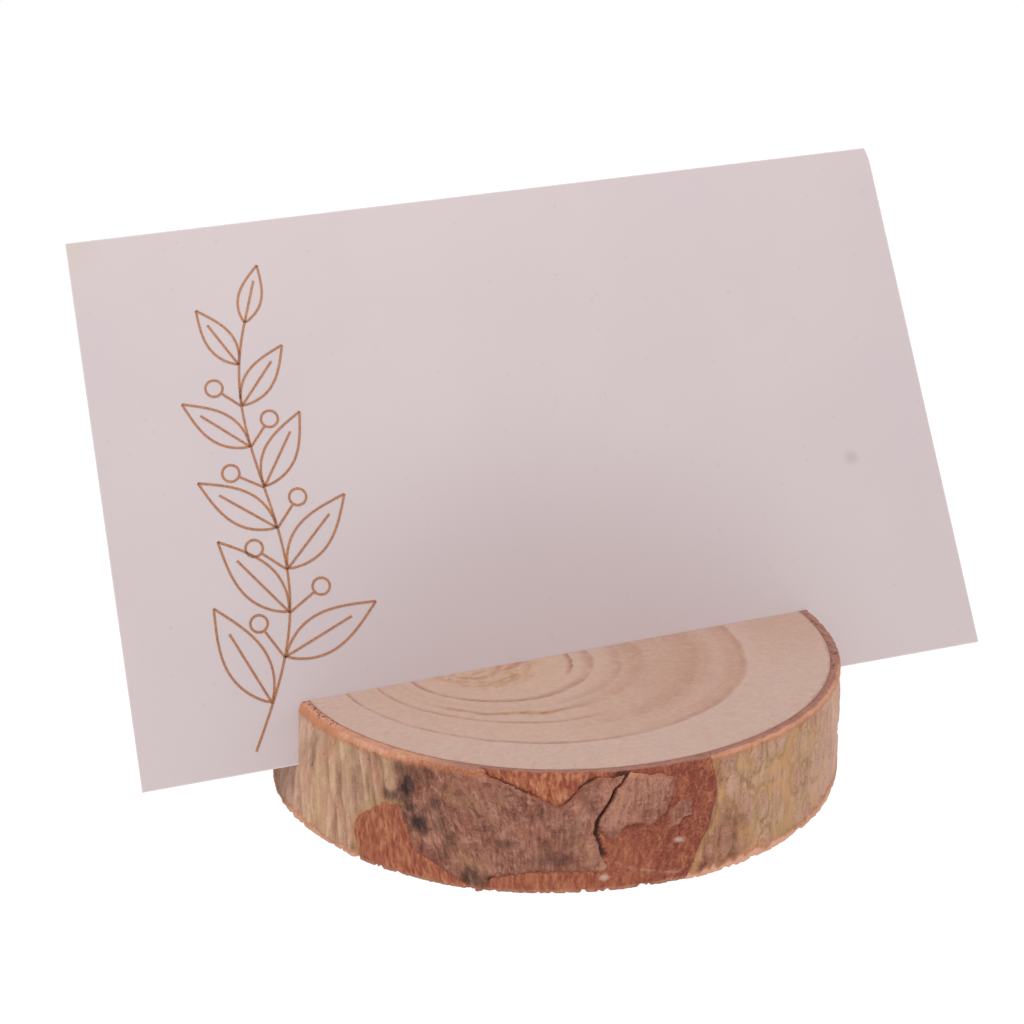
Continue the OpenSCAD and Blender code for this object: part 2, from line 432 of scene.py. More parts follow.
def meshByTree(tree, name, values):
    # runs a geometry tree on an empty mesh and returns what it makes as a plain mesh
    holder = placed(name + "Holder", bpy.data.meshes.new(name + "Start"))
    modifier = holder.modifiers.new("make", "NODES")
    modifier.node_group = tree
    for item in tree.interface.items_tree:
        if item.item_type == "SOCKET" and item.in_out == "INPUT":
            modifier[item.identifier] = values[item.name]
    return plainMesh(holder, name)


def endTree(tree, shape, finish):
    real = wire(tree, "GeometryNodeRealizeInstances", {"Geometry": shape})
    coated = wire(tree, "GeometryNodeSetMaterial", {"Geometry": real, "Material": finish})
    addNode(tree, "NodeGroupOutput", {"Geometry": coated})
    return tree


barkGrain = makeBarkGrain()
speckles = makeSpeckles()
print("shared effects ready")


# the wood: a leaning, flaring disc made by rule, with the saw slot cut across it
woodMeshing = {"sides": 384, "rings": 48, "levels": 6}


def makeWoodTree():
    tree, given = newTree("roundOfWood", "Geometry", {
        "Float": ["Height", "Wood Radius", "Flare", "Top Shift", "Oval", "Oval Turn",
                  "Three Corner", "Three Turn", "Four Corner", "Four Turn"],
        "Int": ["Sides", "Rings", "Levels"], "Vector": ["Slot Size", "Slot Place", "Slot Lean"],
        "Material": ["Finish"]}, {"Geometry": ["Geometry"]})
    disc = wire(tree, "GeometryNodeMeshCylinder", {
        "Vertices": given["Sides"], "Side Segments": given["Levels"], "Fill Segments": given["Rings"],
        "Radius": 1.0, "Depth": 1.0}, fill_type="TRIANGLE_FAN")
    x, y, z = splitUp(wire(tree, "GeometryNodeInputPosition"))
    turn, share, rise = calc("ARCTAN2", y, x), calc("SQRT", x * x + y * y), z + 0.5
    outline = 1.0
    for corners, size, start in ((2, "Oval", "Oval Turn"), (3, "Three Corner", "Three Turn"),
                                 (4, "Four Corner", "Four Turn")):
        outline = outline + calc("COSINE", (turn - given[start]) * corners) * given[size]
    radius = (given["Wood Radius"] + given["Flare"] * (1.0 - rise)) * outline * share
    across = given["Top Shift"] * rise + radius * calc("COSINE", turn)
    newPlace = vectorOf(tree, across, radius * calc("SINE", turn), given["Height"] * rise)
    shaped = wire(tree, "GeometryNodeSetPosition", {"Geometry": disc, "Position": newPlace})
    saw = wire(tree, "GeometryNodeTransform", {
        "Geometry": wire(tree, "GeometryNodeMeshCube", {"Size": given["Slot Size"]}),
        "Rotation": wire(tree, "FunctionNodeEulerToRotation", {0: given["Slot Lean"]}),
        "Translation": given["Slot Place"]})
    cut = wire(tree, "GeometryNodeMeshBoolean", {"Mesh 1": shaped, "Mesh 2": saw}, operation="DIFFERENCE",
               solver="EXACT")
    return endTree(tree, cut, given["Finish"])


# the year rings run round the pith, which lies off the middle, and follow the bark further out
ringShape = {"pithX": -10.46, "pithY": -0.645, "egg": (-0.038, -0.06, -0.028),
             "outside": 34.0, "halvings": 36}


def ringRadiusOf(points):
    # halves the gap between too near and too far until it has each point's own ring
    s, g = sliceShape, ringShape
    x, y = points[:, 0] - s["topShift"] * points[:, 2] / s["height"], points[:, 1]
    low, high = np.zeros(len(x)), np.full(len(x), g["outside"])
    for _ in range(g["halvings"]):
        r = (low + high) / 2
        u = np.minimum(r / s["woodRadius"], 1)
        dx, dy = x - (1 - u) * g["pithX"], y - (1 - u) * g["pithY"]
        turn = np.arctan2(dy, dx)
        waves = np.cos(2 * turn), np.sin(2 * turn), np.cos(3 * turn)
        egg = sum(size * wave for size, wave in zip(g["egg"], waves))
        reach = r * (1 + u * u * (outlineShare(np.degrees(turn)) - 1) + (1 - u ** 3) * egg)
        beyond = np.hypot(dx, dy) > reach
        low, high = np.where(beyond, r, low), np.where(beyond, high, r)
    return low


# radius, width and strength of each ring, and how much of it shows on the right of the heart
yearRings = [
    (20.8, 0.50, 0.69, 0.7), (15.5, 0.50, 0.67, 0.0), (11.6, 0.72, 0.13, 2.6), (9.55, 0.60, 0.84, 0.8),
    (13.2, 1.08, 0.07, 4.0), (17.2, 1.32, 0.06, 4.6), (4.9, 0.54, 0.34, 1.0), (2.7, 0.48, 0.39, 1.0),
]
# where the tones of the top begin and are full, in millimetres: by ring, to the right, or to the back
woodZones = {
    "tanFrom": (9.7, 12.5), "tanTo": (20.85, 20.6), "tanRight": (-4.0, 12.0),
    "outerTone": (19.5, 20.9), "outerFrom": (20.6, 23.0), "outerBack": (-16.0, -3.0),
    "paleFrom": (17.9, 18.8), "paleTo": (19.7, 19.0), "heartTo": (9.6, 5.0),
    "stainFrom": (0.5, 1.6), "stainTo": (6.2, 4.6), "ringsRight": (-3.0, 6.0),
    "leftFrom": (-15.0, -8.0), "leftTo": (3.0, -3.0), "leftFront": (-6.0, -9.0),
    "arcFrom": (-1.6, -0.6), "arcBack": (-6.6, -5.4), "ochreFrom": (12.2, 13.0), "ochreTo": (14.0, 13.2),
    "barkLine": (26.75, 27.0),
}
leftRing, heartArc = (13.1, 0.6), (8.1, 0.32)  # radius and width
woodLook = tints(
    outer=(198, 168, 155), inner=(197, 165, 149), tan=(187, 150, 132), heart=(199, 164, 142),
    ring=(160, 112, 92), stain=(170, 120, 78), pale=(195, 160, 146), yellow=(200, 170, 140),
    pink=(198, 156, 141), edge=(150, 108, 98), orange=(182, 120, 90), ochre=(186, 148, 108))


def ringLine(radius, at, width):
    # crisp on its outer side and soft on its inner side, as late wood is
    return remap(radius, at - width * 1.5, at) * remap(radius, at, at + width * 0.45, 1.0, 0.0)


def woodZone(name, value, toLow=0.0, toHigh=1.0):
    return remap(value, *woodZones[name], toLow, toHigh)


def makeWoodMaterial():
    material, tree = newMaterial("sandedEndGrain")
    place = objectPlace(tree)
    x, y, _ = splitUp(place)
    right, deep = x * (1 / mm), y * (1 / mm)
    cloudy, mottle = noise(place, 220.0, 3.0), noise(place, 1600.0, 4.0, 0.65)
    radius = (readField(tree, "ringRadius") + (noise(place, 260.0, 2.0) - 0.5) * 0.5
              + (noise(place, 1500.0, 2.0) - 0.5) * 0.16)
    wavy = radius + (cloudy - 0.5) * 2.2
    toRight = woodZone("tanRight", right)
    # rays that run out from the pith
    fromPith = vectorCalc("SUBTRACT", place, (ringShape["pithX"] * mm, ringShape["pithY"] * mm, 0.0))
    headX, headY, _ = splitUp(vectorCalc("NORMALIZE", vectorCalc("MULTIPLY", fromPith, (1.0, 1.0, 0.0))))
    rays = noise(vectorOf(tree, headX, headY, radius * 0.012), 46.0, 3.0, 0.6)
    # zones of tone from the heart outwards
    tanZone = woodZone("tanFrom", radius) * woodZone("tanTo", radius) * toRight
    tanZone = tanZone * remap(cloudy, 0.25, 0.6, 0.65, 1.0)
    outerRight = woodZone("outerFrom", radius) * woodZone("outerBack", deep) * toRight * 0.55
    paleBand = woodZone("paleFrom", radius) * woodZone("paleTo", radius) * toRight * 0.75
    # stain round the heart, broken up by noise, and an orange knot of it right of the pith
    arcs = calc("SINE", (radius + cloudy) * 4.4)
    patchy = remap(noise(place, 700.0, 4.0, 0.65, 0.8), 0.4, 0.62) * remap(arcs, -0.4, 0.9, 0.4, 1.0)
    heartStain = woodZone("stainTo", radius) * woodZone("stainFrom", radius) * patchy * 0.75
    fromLeft = right - sliceShape["topShift"]
    along, across = (fromLeft + deep + 6.8) * 0.47, (fromLeft - deep + 4.0) * 1.2
    knot = along * along + across * across + (mottle - 0.5) * 2.4
    # the rings, a broken stretch of ring in front on the left, and a short arc in front of the heart
    dark = 0.0
    for at, width, strength, share in yearRings:
        shown = woodZone("ringsRight", right, strength, strength * share)
        dark = dark + ringLine(radius, at, width) * shown
    frontLeft = woodZone("leftFrom", right) * woodZone("leftTo", right)
    dark = dark + ringLine(wavy, *leftRing) * frontLeft * woodZone("leftFront", deep) * 0.9
    dark = dark + ringLine(radius, *heartArc) * woodZone("arcFrom", right) * woodZone("arcBack", deep)
    ochre = woodZone("ochreFrom", wavy) * woodZone("ochreTo", wavy) * frontLeft
    ochre = ochre * remap(mottle, 0.4, 0.6) * 0.6
    fade = remap(noise(place, 320.0, 2.0), 0.3, 0.62, 0.45, 1.0)
    # a thin dark line under the bark, and patches of yellow and pink
    barkLine = woodZone("barkLine", radius + (noise(place, 1900.0, 3.0, 0.7) - 0.5) * 0.4) * 0.5
    patches = noise(place, 900.0, 3.0, 0.6)
    base = layered(
        blend(woodZone("outerTone", radius), woodLook["inner"], woodLook["outer"]), woodLook,
        (woodZone("heartTo", radius) * 0.7, "heart"), (tanZone, "tan"), (outerRight, "tan"),
        (paleBand, "pale"),
        (heartStain, "stain"), (remap(knot, 1.3, 0.3, 0.0, 0.75), "orange"), (ochre, "ochre"),
        (calc("MULTIPLY", dark, fade, clamp=True), "ring"), (barkLine, "edge"),
        (remap(patches, 0.5, 0.75, 0.0, 0.5), "yellow"), (remap(patches, 0.5, 0.28, 0.0, 0.5), "pink"))
    # rays, mottle and pores
    pores = speckled(tree, 2100.0, 0.1)
    grey = evenly(rays, 0.3, 0.7, 0.97, 1.03) * evenly(mottle, 0.25, 0.75, 0.91, 1.07) * (1.0 - pores * 0.08)
    toned = blend(1.0, base, wire(tree, "ShaderNodeCombineColor", {0: grey, 1: grey, 2: grey}), "MULTIPLY")
    rough = evenly(mottle, 0.3, 0.7, 0.62, 0.74)
    return dress(material, {"Base Color": toned, "Roughness": rough, "Specular IOR Level": 0.25},
                 mottle * 0.6 - pores * 0.3, 0.00002, 0.4)


def makeWood():
    s, finish = sliceShape, makeWoodMaterial()
    mesh = meshByTree(makeWoodTree(), "woodRound", {
        "Height": s["height"] * mm, "Wood Radius": s["woodRadius"] * mm, "Flare": s["flare"] * mm,
        "Top Shift": s["topShift"] * mm, "Oval": s["oval"], "Oval Turn": math.radians(s["ovalTurn"]),
        "Three Corner": s["threeCorner"], "Three Turn": math.radians(s["threeTurn"]),
        "Four Corner": s["fourCorner"], "Four Turn": math.radians(s["fourTurn"]),
        "Sides": woodMeshing["sides"], "Rings": woodMeshing["rings"], "Levels": woodMeshing["levels"],
        "Slot Size": tuple(sawSize * mm), "Slot Place": tuple(sawMiddle.translation * mm),
        "Slot Lean": tuple(slotMatrix.to_euler()), "Finish": finish})
    putAttributes(mesh, ringRadius=ringRadiusOf(pointsOf(mesh)))
    finishPiece("woodRound", mesh, "slice", ["wood_slice"], finish, sharpAngle=30)


makeWood()
print("wood done")


# the outer bark: eight plates with ragged edges, each a closed shell round its part of the branch
# each edge is a line of height share and turn
barkEdges = {
    "crackMain": [(0, -93.2), (0.2, -93.4), (0.28, -94.2), (0.4, -95.6), (0.5, -96.4),
                  (0.62, -96.2), (0.8, -94), (1, -91.6)],
    "crackFront": [(0, -93.7), (0.2, -93.9), (0.28, -94.8), (0.4, -96.3), (0.5, -97.2),
                   (0.62, -96.9), (0.8, -94.6), (1, -92.0)],
    "left": [(0, -205), (1, -203)],
    "front": [(0, -124), (0.07, -125), (0.22, -131.6), (0.4, -134.4), (0.54, -136.6), (0.7, -135),
              (1, -133)],
    "middle": [(0, -87), (0.5, -86.6), (0.56, -85.4), (0.69, -83.8), (0.85, -83.4), (1, -84.2)],
    "flakeLeft": [(0, -84.4), (1, -83.8)],
    "flakeRight": [(0, -80.4), (1, -79.4)],
    "right": [(0, -81.7), (0.2, -80.2), (0.4, -78.2), (0.7, -76.7), (1, -78.7)],
    "backRight": [(0, 14), (0.5, 16), (1, 13)],
    "back": [(0, 66), (0.4, 62), (1, 64)],
    "backLeft": [(0, 108), (0.5, 112), (1, 109)],
}
crackTurn = 0.7
# a plate's foot and head are lines of place across it and height share
# soft is how far each edge takes to reach full thickness: left, right, foot, head
plainPlate = {"foot": [(0, 0), (1, 0)], "head": [(0, 1), (1, 1)], "step": 0.2, "soft": (0.3, 0.3, 0.2, 0.2),
              "slotted": False, "pink": 0.0}
barkPlates = {
    "barkLeft": {
        "node": "bark_left", "slot": "bark_olive", "left": ("left", 0), "right": ("front", -0.02),
        "foot": [(0, 0), (0.74, 0), (0.77, 0.3), (0.9, 0.5), (1, 0.55)],
        "step": 0.13, "soft": (0.3, 0, 1.1, 0.2), "form": "ribs", "seed": 11, "slotted": True},
    "barkFront": {
        "node": "bark_front", "slot": "bark_brown", "left": ("front", 0), "right": ("crackFront", 0),
        "foot": [(0, 0.2), (0.1, 0.08), (0.2, 0), (0.28, 0), (0.36, 0.12), (0.6, 0.17), (1, 0.17)],
        "head": [(0, 1), (0.33, 1), (0.37, 0.945), (0.45, 0.905), (0.53, 0.87), (0.63, 0.815), (0.71, 0.755),
                 (0.79, 0.705), (0.82, 0.725), (0.838, 0.8), (0.85, 0.89), (0.875, 0.94), (1, 0.955)],
        "step": 0.11, "soft": (0, 0.12, 0.5, 0.1), "form": "flakes", "seed": 23, "pink": 0.6},
    "barkMiddle": {
        "node": "bark_middle", "slot": "bark_brown", "left": ("crackMain", 0), "right": ("middle", 0),
        "foot": [(0, 0.5), (0.1, 0.45), (0.2, 0.42), (0.32, 0.41), (0.4, 0.47), (0.46, 0.53), (0.58, 0.55),
                 (0.72, 0.53), (0.86, 0.49), (1, 0.52)],
        "head": [(0, 0.985), (0.4, 0.955), (0.75, 0.935), (1, 0.88)],
        "step": 0.1, "soft": (0.12, 0.6, 0.6, 0.35), "form": "flakes", "seed": 37, "pink": 1.0},
    "barkFlake": {
        "node": "bark_flake", "slot": "bark_brown", "left": ("flakeLeft", 0), "right": ("flakeRight", 0),
        "foot": [(0, 0.46), (0.35, 0.47), (0.6, 0.52), (1, 0.54)],
        "head": [(0, 0.63), (0.4, 0.68), (0.75, 0.73), (1, 0.69)],
        "step": 0.08, "soft": (0.3, 0.3, 0.35, 0.35), "form": "flakes", "seed": 41, "pink": 1.0},
    "barkRight": {
        "node": "bark_right", "slot": "bark_olive", "left": ("right", crackTurn), "right": ("backRight", 0),
        "step": 0.14, "soft": (1.3, 0.3, 0.2, 0.2), "form": "ovals", "seed": 53, "slotted": True},
    "barkBackRight": {
        "node": "bark_back_right", "slot": "bark_olive",
        "left": ("backRight", crackTurn), "right": ("back", 0),
        "form": "ovals", "seed": 67},
    "barkBack": {
        "node": "bark_back", "slot": "bark_brown", "left": ("back", crackTurn), "right": ("backLeft", 0),
        "form": "flakes", "seed": 71},
    "barkBackLeft": {
        "node": "bark_back_left", "slot": "bark_olive", "left": ("backLeft", crackTurn),
        "right": ("left", 360 - crackTurn), "form": "ribs", "seed": 83},
}
barkPlates = {name: {**plainPlate, **plate} for name, plate in barkPlates.items()}
# dark lichen spots: turn, height, half width, half height, strength
lichenSpots = [
    (-136.0, 7.9, 1.1, 1.5, 1.0), (-131.6, 4.9, 1.3, 1.0, 0.95), (-128.6, 7.0, 0.8, 0.9, 0.55),
    (-138.6, 9.5, 0.8, 0.7, 0.6), (-140.3, 6.8, 1.1, 0.5, 0.85), (-134.2, 6.2, 0.9, 0.5, 0.7),
    (-124.1, 4.0, 0.6, 1.2, 0.5), (-119.0, 1.2, 0.8, 0.9, 0.8), (-127.0, 5.6, 0.6, 1.1, 0.4),
    (-104.0, 3.2, 1.9, 0.6, 0.55), (-106.5, 7.0, 0.9, 1.0, 0.25), (-166.6, 8.0, 0.8, 1.8, 0.35),
    (-115.6, 1.2, 0.5, 0.6, 0.5), (-100.4, 6.4, 0.5, 0.8, 0.35), (-167.1, 6.1, 0.2, 0.2, 1.0),
    (-113.0, 4.4, 1.6, 0.4, 0.4), (-79.6, 6.4, 0.16, 0.14, 1.0),
]
# millimetres along the bark for each degree of turn
arcPerTurn = math.radians(28.4)
# where each mark of the bark begins and where it is full, in degrees of turn or millimetres up or out
barkZones = {
    "ribsEnd": (-143, -135), "chamferLeft": (-124, -136), "pinkFrom": (-112, -102),
    "mauveLeft": (-147, -138), "mauveRight": (-72, -80), "mauveFlakes": (-137, -129),
    "twistedRight": (-66, -72), "twistedTop": (7.5, 4.5),
    "behindRight": (-30, 10), "behindLeft": (-178, -190), "paleRight": (-58, -36), "paleLeft": (-162, -174),
    "salmonLeft": (-124, -132), "salmonFrom": (-80, -75), "salmonTo": (-26, -42), "salmonOut": (0.6, 0.8),
    "flecksFrom": (-44, -30), "flecksTo": (12, 0), "flecksLeft": (-158, -163), "flecksBehind": (-200, -186),
    "pocketFoot": (7.2, 8.0), "pocketLeft": (-122, -119), "pocketRight": (-95, -98),
    "patchLeft": (-154, -149), "patchRight": (-115, -120), "maroonFrom": (-82.5, -80.5),
    "stripLeft": (-119, -116), "stripTop": (4, 3),
    "besideLeft": (-99, -96), "besideRight": (-85.5, -90), "besideTop": (5.6, 3.6),
}


def zone(name, value):
    # 0 before a mark of the bark begins and 1 where it is full
    return smoothStep(*barkZones[name], value)


def sandedDepth(turn):
    # how far down the sander reached from the top edge, in millimetres
    places = [-210, -150, -136, -127, -92, -80, -76, -50, 20, 150]
    return np.interp(turn, places, [0.75, 0.66, 0.55, 0.4, 0.25, 0.2, 0.28, 0.3, 0.5, 0.8])


def barkLie(turn, z):
    # the fibres lean to the right on their way down, most of all in front on the left
    lean = np.interp(turn, [-200, -165, -140, -125, -110, -97], [0.1, 0.35, 0.4, 0.6, 0.25, 0.0])
    return turn * arcPerTurn + lean * (z - 5)


def sandedShare(turn, z):
    along = turn * arcPerTurn
    wave = 0.5 * wobble(along / 3, 0, 0, 77, layers=2)
    wave = wave + 1.1 * wobble(along / 0.4, z / 1.1, 0, 78, layers=4, fade=0.65)
    top = smoothStep(-0.4, 0.3, z - sliceShape["height"] + sandedDepth(turn) * (1 + 0.8 * wave))
    footHigh = np.interp(turn, [-190, -150, -130, -80, -72], [0.6, 0.5, 0.34, 0.34, 0.8])
    return np.maximum(top, smoothStep(0.18, -0.18, z - footHigh * (1 + 1.6 * wave)))


# the relief of each form in millimetres: how wide and tall its marks are, and how far they stand out
barkMarks = {
    "ribs": {"wide": 1.5, "tall": 8, "share": 0.68, "thinWide": 0.7, "thinTall": 3.2, "thinShare": 0.32,
             "base": -0.3, "rise": 0.42, "fine": 0.12},
    "ovals": {"wide": 1.75, "tall": 3.5, "jitter": 0.85, "ragged": 0.3, "size": 0.34, "sizeMore": 0.2,
              "ringWidth": 0.1, "base": -0.16, "dome": 0.1, "ring": 0.1, "small": 0.07, "fine": 0.12},
    "flakes": {"wide": 3.6, "tall": 2.2, "grainWide": 0.42, "grain": 0.3, "base": -0.2, "rise": 0.2,
               "fine": 0.16, "steps": [(0.40, 0.43, 0.35), (0.52, 0.55, 0.3), (0.62, 0.64, 0.15)]},
}


def ribMarks(lie, z, sway, seed):
    m = barkMarks["ribs"]
    wide = folds((lie + sway) / m["wide"], z / m["tall"], seed + 1)
    thin = folds((lie + 0.5 * sway) / m["thinWide"], z / m["thinTall"], seed + 2)
    rib = m["share"] * smoothStep(0.3, 0.95, wide) + m["thinShare"] * smoothStep(0.25, 1.0, thin)
    return m["base"] + m["rise"] * rib, rib


def ovalMarks(lie, z, sway, seed):
    m = barkMarks["ovals"]
    near, tone = cellField((lie + 0.5 * sway) / m["wide"], z / m["tall"] + 0.3 * sway, seed, m["jitter"])
    near = near + m["ragged"] * wobble(lie / 0.7, z / 1.3, 0, seed + 3, fade=0.6)
    there, size = smoothStep(0.1, 0.2, tone), m["size"] + m["sizeMore"] * tone
    dome = smoothStep(size + 0.04, size - 0.16, near) * there
    ring = np.exp(-((near - size) / m["ringWidth"]) ** 2) * there
    small = folds(lie / 0.55, z / 2.6, seed + 2)
    return m["base"] + m["dome"] * dome - m["ring"] * ring + m["small"] * small, dome - ring


def flakeMarks(lie, z, sway, seed):
    # sheets that lie over each other, each with its step, and a fine grain
    m = barkMarks["flakes"]
    sheets = layeredCloud(lie / m["wide"], z / m["tall"], 0, seed + 1, layers=4, fade=0.55)
    steps = sum(rise * smoothStep(low, high, sheets) for low, high, rise in m["steps"])
    grain = folds((lie + 0.4 * sway) / m["grainWide"], z / m["tall"], seed + 2)
    steps = steps + m["grain"] * grain * grain
    return m["base"] + m["rise"] * steps, steps


markMakers = {"ribs": ribMarks, "ovals": ovalMarks, "flakes": flakeMarks}


def formRelief(form, turn, z, seed):
    # height over the plate's middle in millimetres, and a tone that the finish reads
    lie = barkLie(turn, z)
    sway = 1.3 * wobble(lie / 4, z / 6, 0, seed, layers=2)
    level, tone = markMakers[form](lie, z, sway, seed)
    level = level + barkMarks[form]["fine"] * wobble(lie / 0.32, z / 0.9, 0, seed + 5, fade=0.6)
    if form != "ribs":
        return level, tone
    # towards the front plate the ribs give way to flakes
    flaky, steps = formRelief("flakes", turn, z, barkPlates["barkFront"]["seed"])
    share = zone("ribsEnd", turn) * (turn < -100)
    return level * (1 - share) + flaky * share, tone * (1 - share) + steps * share


def mauveShare(turn, z, form, seed):
    # where the bark goes from olive to mauve brown
    along = turn * arcPerTurn
    drift = 9 * wobble(along / 3.5, z / 4, 0, seed + 9)
    front = zone("mauveLeft", turn + drift - 0.7 * (z - 6)) * zone("mauveRight", turn + drift)
    ribbed = smoothStep(0.5, 0.62, layeredCloud(along / 1.1, z / 3.5, 0, 93, fade=0.6)) * (turn < -140)
    twisted = zone("twistedRight", turn + drift) * zone("twistedTop", z + 0.15 * drift) * (turn > -85)
    behind = smoothStep(0.45, 0.65, layeredCloud(along / 9, z / 6, 3, 91))
    behind = behind * np.maximum(zone("behindRight", turn), zone("behindLeft", turn))
    share = np.maximum.reduce([front, 0.3 * ribbed, 0.75 * twisted, 0.6 * behind])
    return np.maximum(share, 0.85 * zone("mauveFlakes", turn + drift)) if form == "flakes" else share


def paleAndRimLightShare(turn, z):
    # greyer pink bark at both ends of the half that faces front, painted lighter there also as painted rim
    # light where the bark turns away
    drift = 10 * wobble(turn * arcPerTurn / 2.5, z / 3, 0, 97)
    ends = np.maximum(zone("paleRight", turn + drift), zone("paleLeft", turn + drift))
    return np.maximum(ends, 0.4 * np.exp(-((turn + 151) / 6) ** 2))


def lichenShare(turn, z):
    along = turn * arcPerTurn
    rough = 0.6 * wobble(along / 0.5, z / 0.8, 0, 17, fade=0.7)
    total = np.zeros(turn.shape)
    for spotTurn, spotZ, halfWidth, halfHeight, strength in lichenSpots:
        reach = np.hypot((along - spotTurn * arcPerTurn) / halfWidth, (z - spotZ) / halfHeight)
        total = np.maximum(total, strength * smoothStep(1.5, 0.25, reach + rough))
    return total


def rimSalmon(turn, out):
    # the sawn top of the bark: salmon on the left and along its outer side on the right, else mauve
    right = zone("salmonFrom", turn) * zone("salmonTo", turn)
    wave = 0.3 * wobble(turn * arcPerTurn / 0.5, 0 * turn, 0, 311, fade=0.6)
    return np.maximum(zone("salmonLeft", turn), right * zone("salmonOut", out + wave))


def rimFlecks(turn):
    # dark flecks gather on the sawn bark where the slot comes out
    atRight = zone("flecksFrom", turn) * zone("flecksTo", turn)
    atLeft = zone("flecksLeft", turn) * zone("flecksBehind", turn)
    return np.maximum(np.maximum(atRight, atLeft), 0.25)


def rimShare(turn, z):
    # the sawn top of the bark, down to where the chips begin
    return smoothStep(-0.05, -0.008, z - chipped(turn, 0 * turn + sliceShape["height"]))


def putRimFields(mesh, turn, z, out):
    # what both kinds of bark tell their finish
    putAttributes(mesh, barkPlace=np.stack([barkLie(turn, z), z, out], axis=-1), barkRim=rimShare(turn, z),
                  rimSalmon=rimSalmon(turn, out), rimFlecks=rimFlecks(turn))


def putBarkFields(mesh, plate):
    # everything is worked out again from where each point lies
    form, seed, pink = plate["form"], plate["seed"], plate["pink"]
    turn, z, out = skinPlace(pointsOf(mesh))
    pinkShare = pink * np.maximum(zone("pinkFrom", turn), pink == 1.0)
    if edgeTurn(plate["left"], 0) > 90:
        turn = np.where(turn < 0, turn + 360, turn)
    relief, tone = formRelief(form, turn, z, seed)
    putRimFields(mesh, turn, z, out)
    putAttributes(mesh, barkRelief=np.clip((relief + 0.3) / 0.4, 0, 1), barkTone=tone,
                  barkSanded=sandedShare(turn, z), barkMauve=mauveShare(turn, z, form, seed),
                  barkPale=paleAndRimLightShare(turn, z), barkStain=lichenShare(turn, z), barkPink=pinkShare,
                  barkThin=smoothStep(0.975, 0.87, plateThickness(plate, turn, z)))


def easedLine(line, place):
    # a chosen line with its corners rounded off
    line = np.array(line, float)
    return sum(np.interp(place + k, line[:, 0], line[:, 1]) for k in (-0.02, -0.01, 0, 0.01, 0.02)) / 5


def edgeTurn(edge, share):
    name, shift = edge
    return easedLine(barkEdges[name], share) + shift


# how ragged a plate's free edges are: its sides in degrees, its foot and head in millimetres
plateRag = {"together": 1.3, "apart": 0.45, "frontShare": 0.2, "foot": 0.45, "head": 0.4}


def raggedness(edge, share):
    # both sides of a crack wander together, and each a little by itself
    name, shift = edge
    up = share * sliceShape["height"]
    seed = 200 + sum(ord(letter) for letter in name[:5])
    together = wobble(up / 0.9, 3, 0, seed, layers=4, fade=0.6) * plateRag["together"]
    apart = wobble(up / 0.5, 5, 0, seed + (1 if shift else 2), fade=0.6) * plateRag["apart"]
    return together + apart * (plateRag["frontShare"] if name == "front" else 1.0)


def plateWidth(plate):
    return abs(edgeTurn(plate["right"], 0.5) - edgeTurn(plate["left"], 0.5)) * arcPerTurn


def plateSpot(plate, u, s):
    # turn and height share at u across the plate and s up it, ragged at the free edges
    height, seed = sliceShape["height"], plate["seed"]
    along = u * plateWidth(plate) / 0.8
    low, high = easedLine(plate["foot"], u), easedLine(plate["head"], u)
    ragLow = wobble(along, 1, 0, seed + 20, layers=4, fade=0.6) * plateRag["foot"] / height
    ragHigh = wobble(along, 2, 0, seed + 21, layers=4, fade=0.6) * plateRag["head"] / height
    low = low + ragLow * smoothStep(0.0, 0.04, low)
    high = high + ragHigh * smoothStep(1.0, 0.96, high)
    share = low * (1 - s) + high * s
    left, right = (edgeTurn(plate[side], share) + raggedness(plate[side], share)
                   for side in ("left", "right"))
    return left * (1 - u) + right * u, share * height


def edgeDistance(turn, z, lineTurn, lineZ):
    # shortest way to a line of points, in millimetres, a few points at a time
    here = np.stack([turn.ravel() * arcPerTurn, z.ravel()], axis=1)
    line = np.stack([lineTurn * arcPerTurn, lineZ], axis=1)
    best = np.full(len(here), 99.0)
    for part in np.split(line, range(40, len(line), 40)):
        gap = np.hypot(here[:, None, 0] - part[None, :, 0], here[:, None, 1] - part[None, :, 1])
        best = np.minimum(best, gap.min(axis=1))
    return best.reshape(turn.shape)


def plateThickness(plate, turn, z):
    run = np.linspace(0, 1, 240)
    none, full = 0 * run, 0 * run + 1
    share = np.ones(turn.shape)
    for (u, s), soft in zip(((none, run), (full, run), (run, none), (run, full)), plate["soft"]):
        lineTurn, lineZ = plateSpot(plate, u, s)
        free = (lineZ > 0.02) & (lineZ < sliceShape["height"] - 0.02)
        if soft == 0 or not free.any():
            continue
        near = np.clip(edgeDistance(turn, z, lineTurn[free], lineZ[free]) / soft, 0, 1)
        share = share * np.sqrt(np.clip(1 - (1 - near) ** 2, 0, 1))
    return share


# chips along the sawn edges, in millimetres, and swellings of the foot: turn, half width and height
edgeChips = {"foot": 0.26, "top": 0.1}
footSwells = [(-123, 16, 0.38), (-142, 8, 0.4)]
footSwellTop = 5.0


def chipped(turn, z):
    # small chips along the sawn edges: the height of each point after them
    along, height = turn * arcPerTurn, sliceShape["height"]
    low = smoothStep(0.5, 0.75, layeredCloud(along / 0.9, 5, 0, 301, layers=4, fade=0.7))
    high = smoothStep(0.55, 0.75, layeredCloud(along / 0.6, 7, 0, 305, fade=0.6))
    raised = edgeChips["foot"] * low * np.clip(1 - z, 0, 1)
    return z + raised - edgeChips["top"] * high * np.clip(1 - height + z, 0, 1)


def footSwell(turn, z):
    # the branch swells a little at its foot on the front left
    swell = sum(rise * np.exp(-((turn - middle) / wide) ** 2) for middle, wide, rise in footSwells)
    return swell * smoothStep(footSwellTop, 0.0, z)


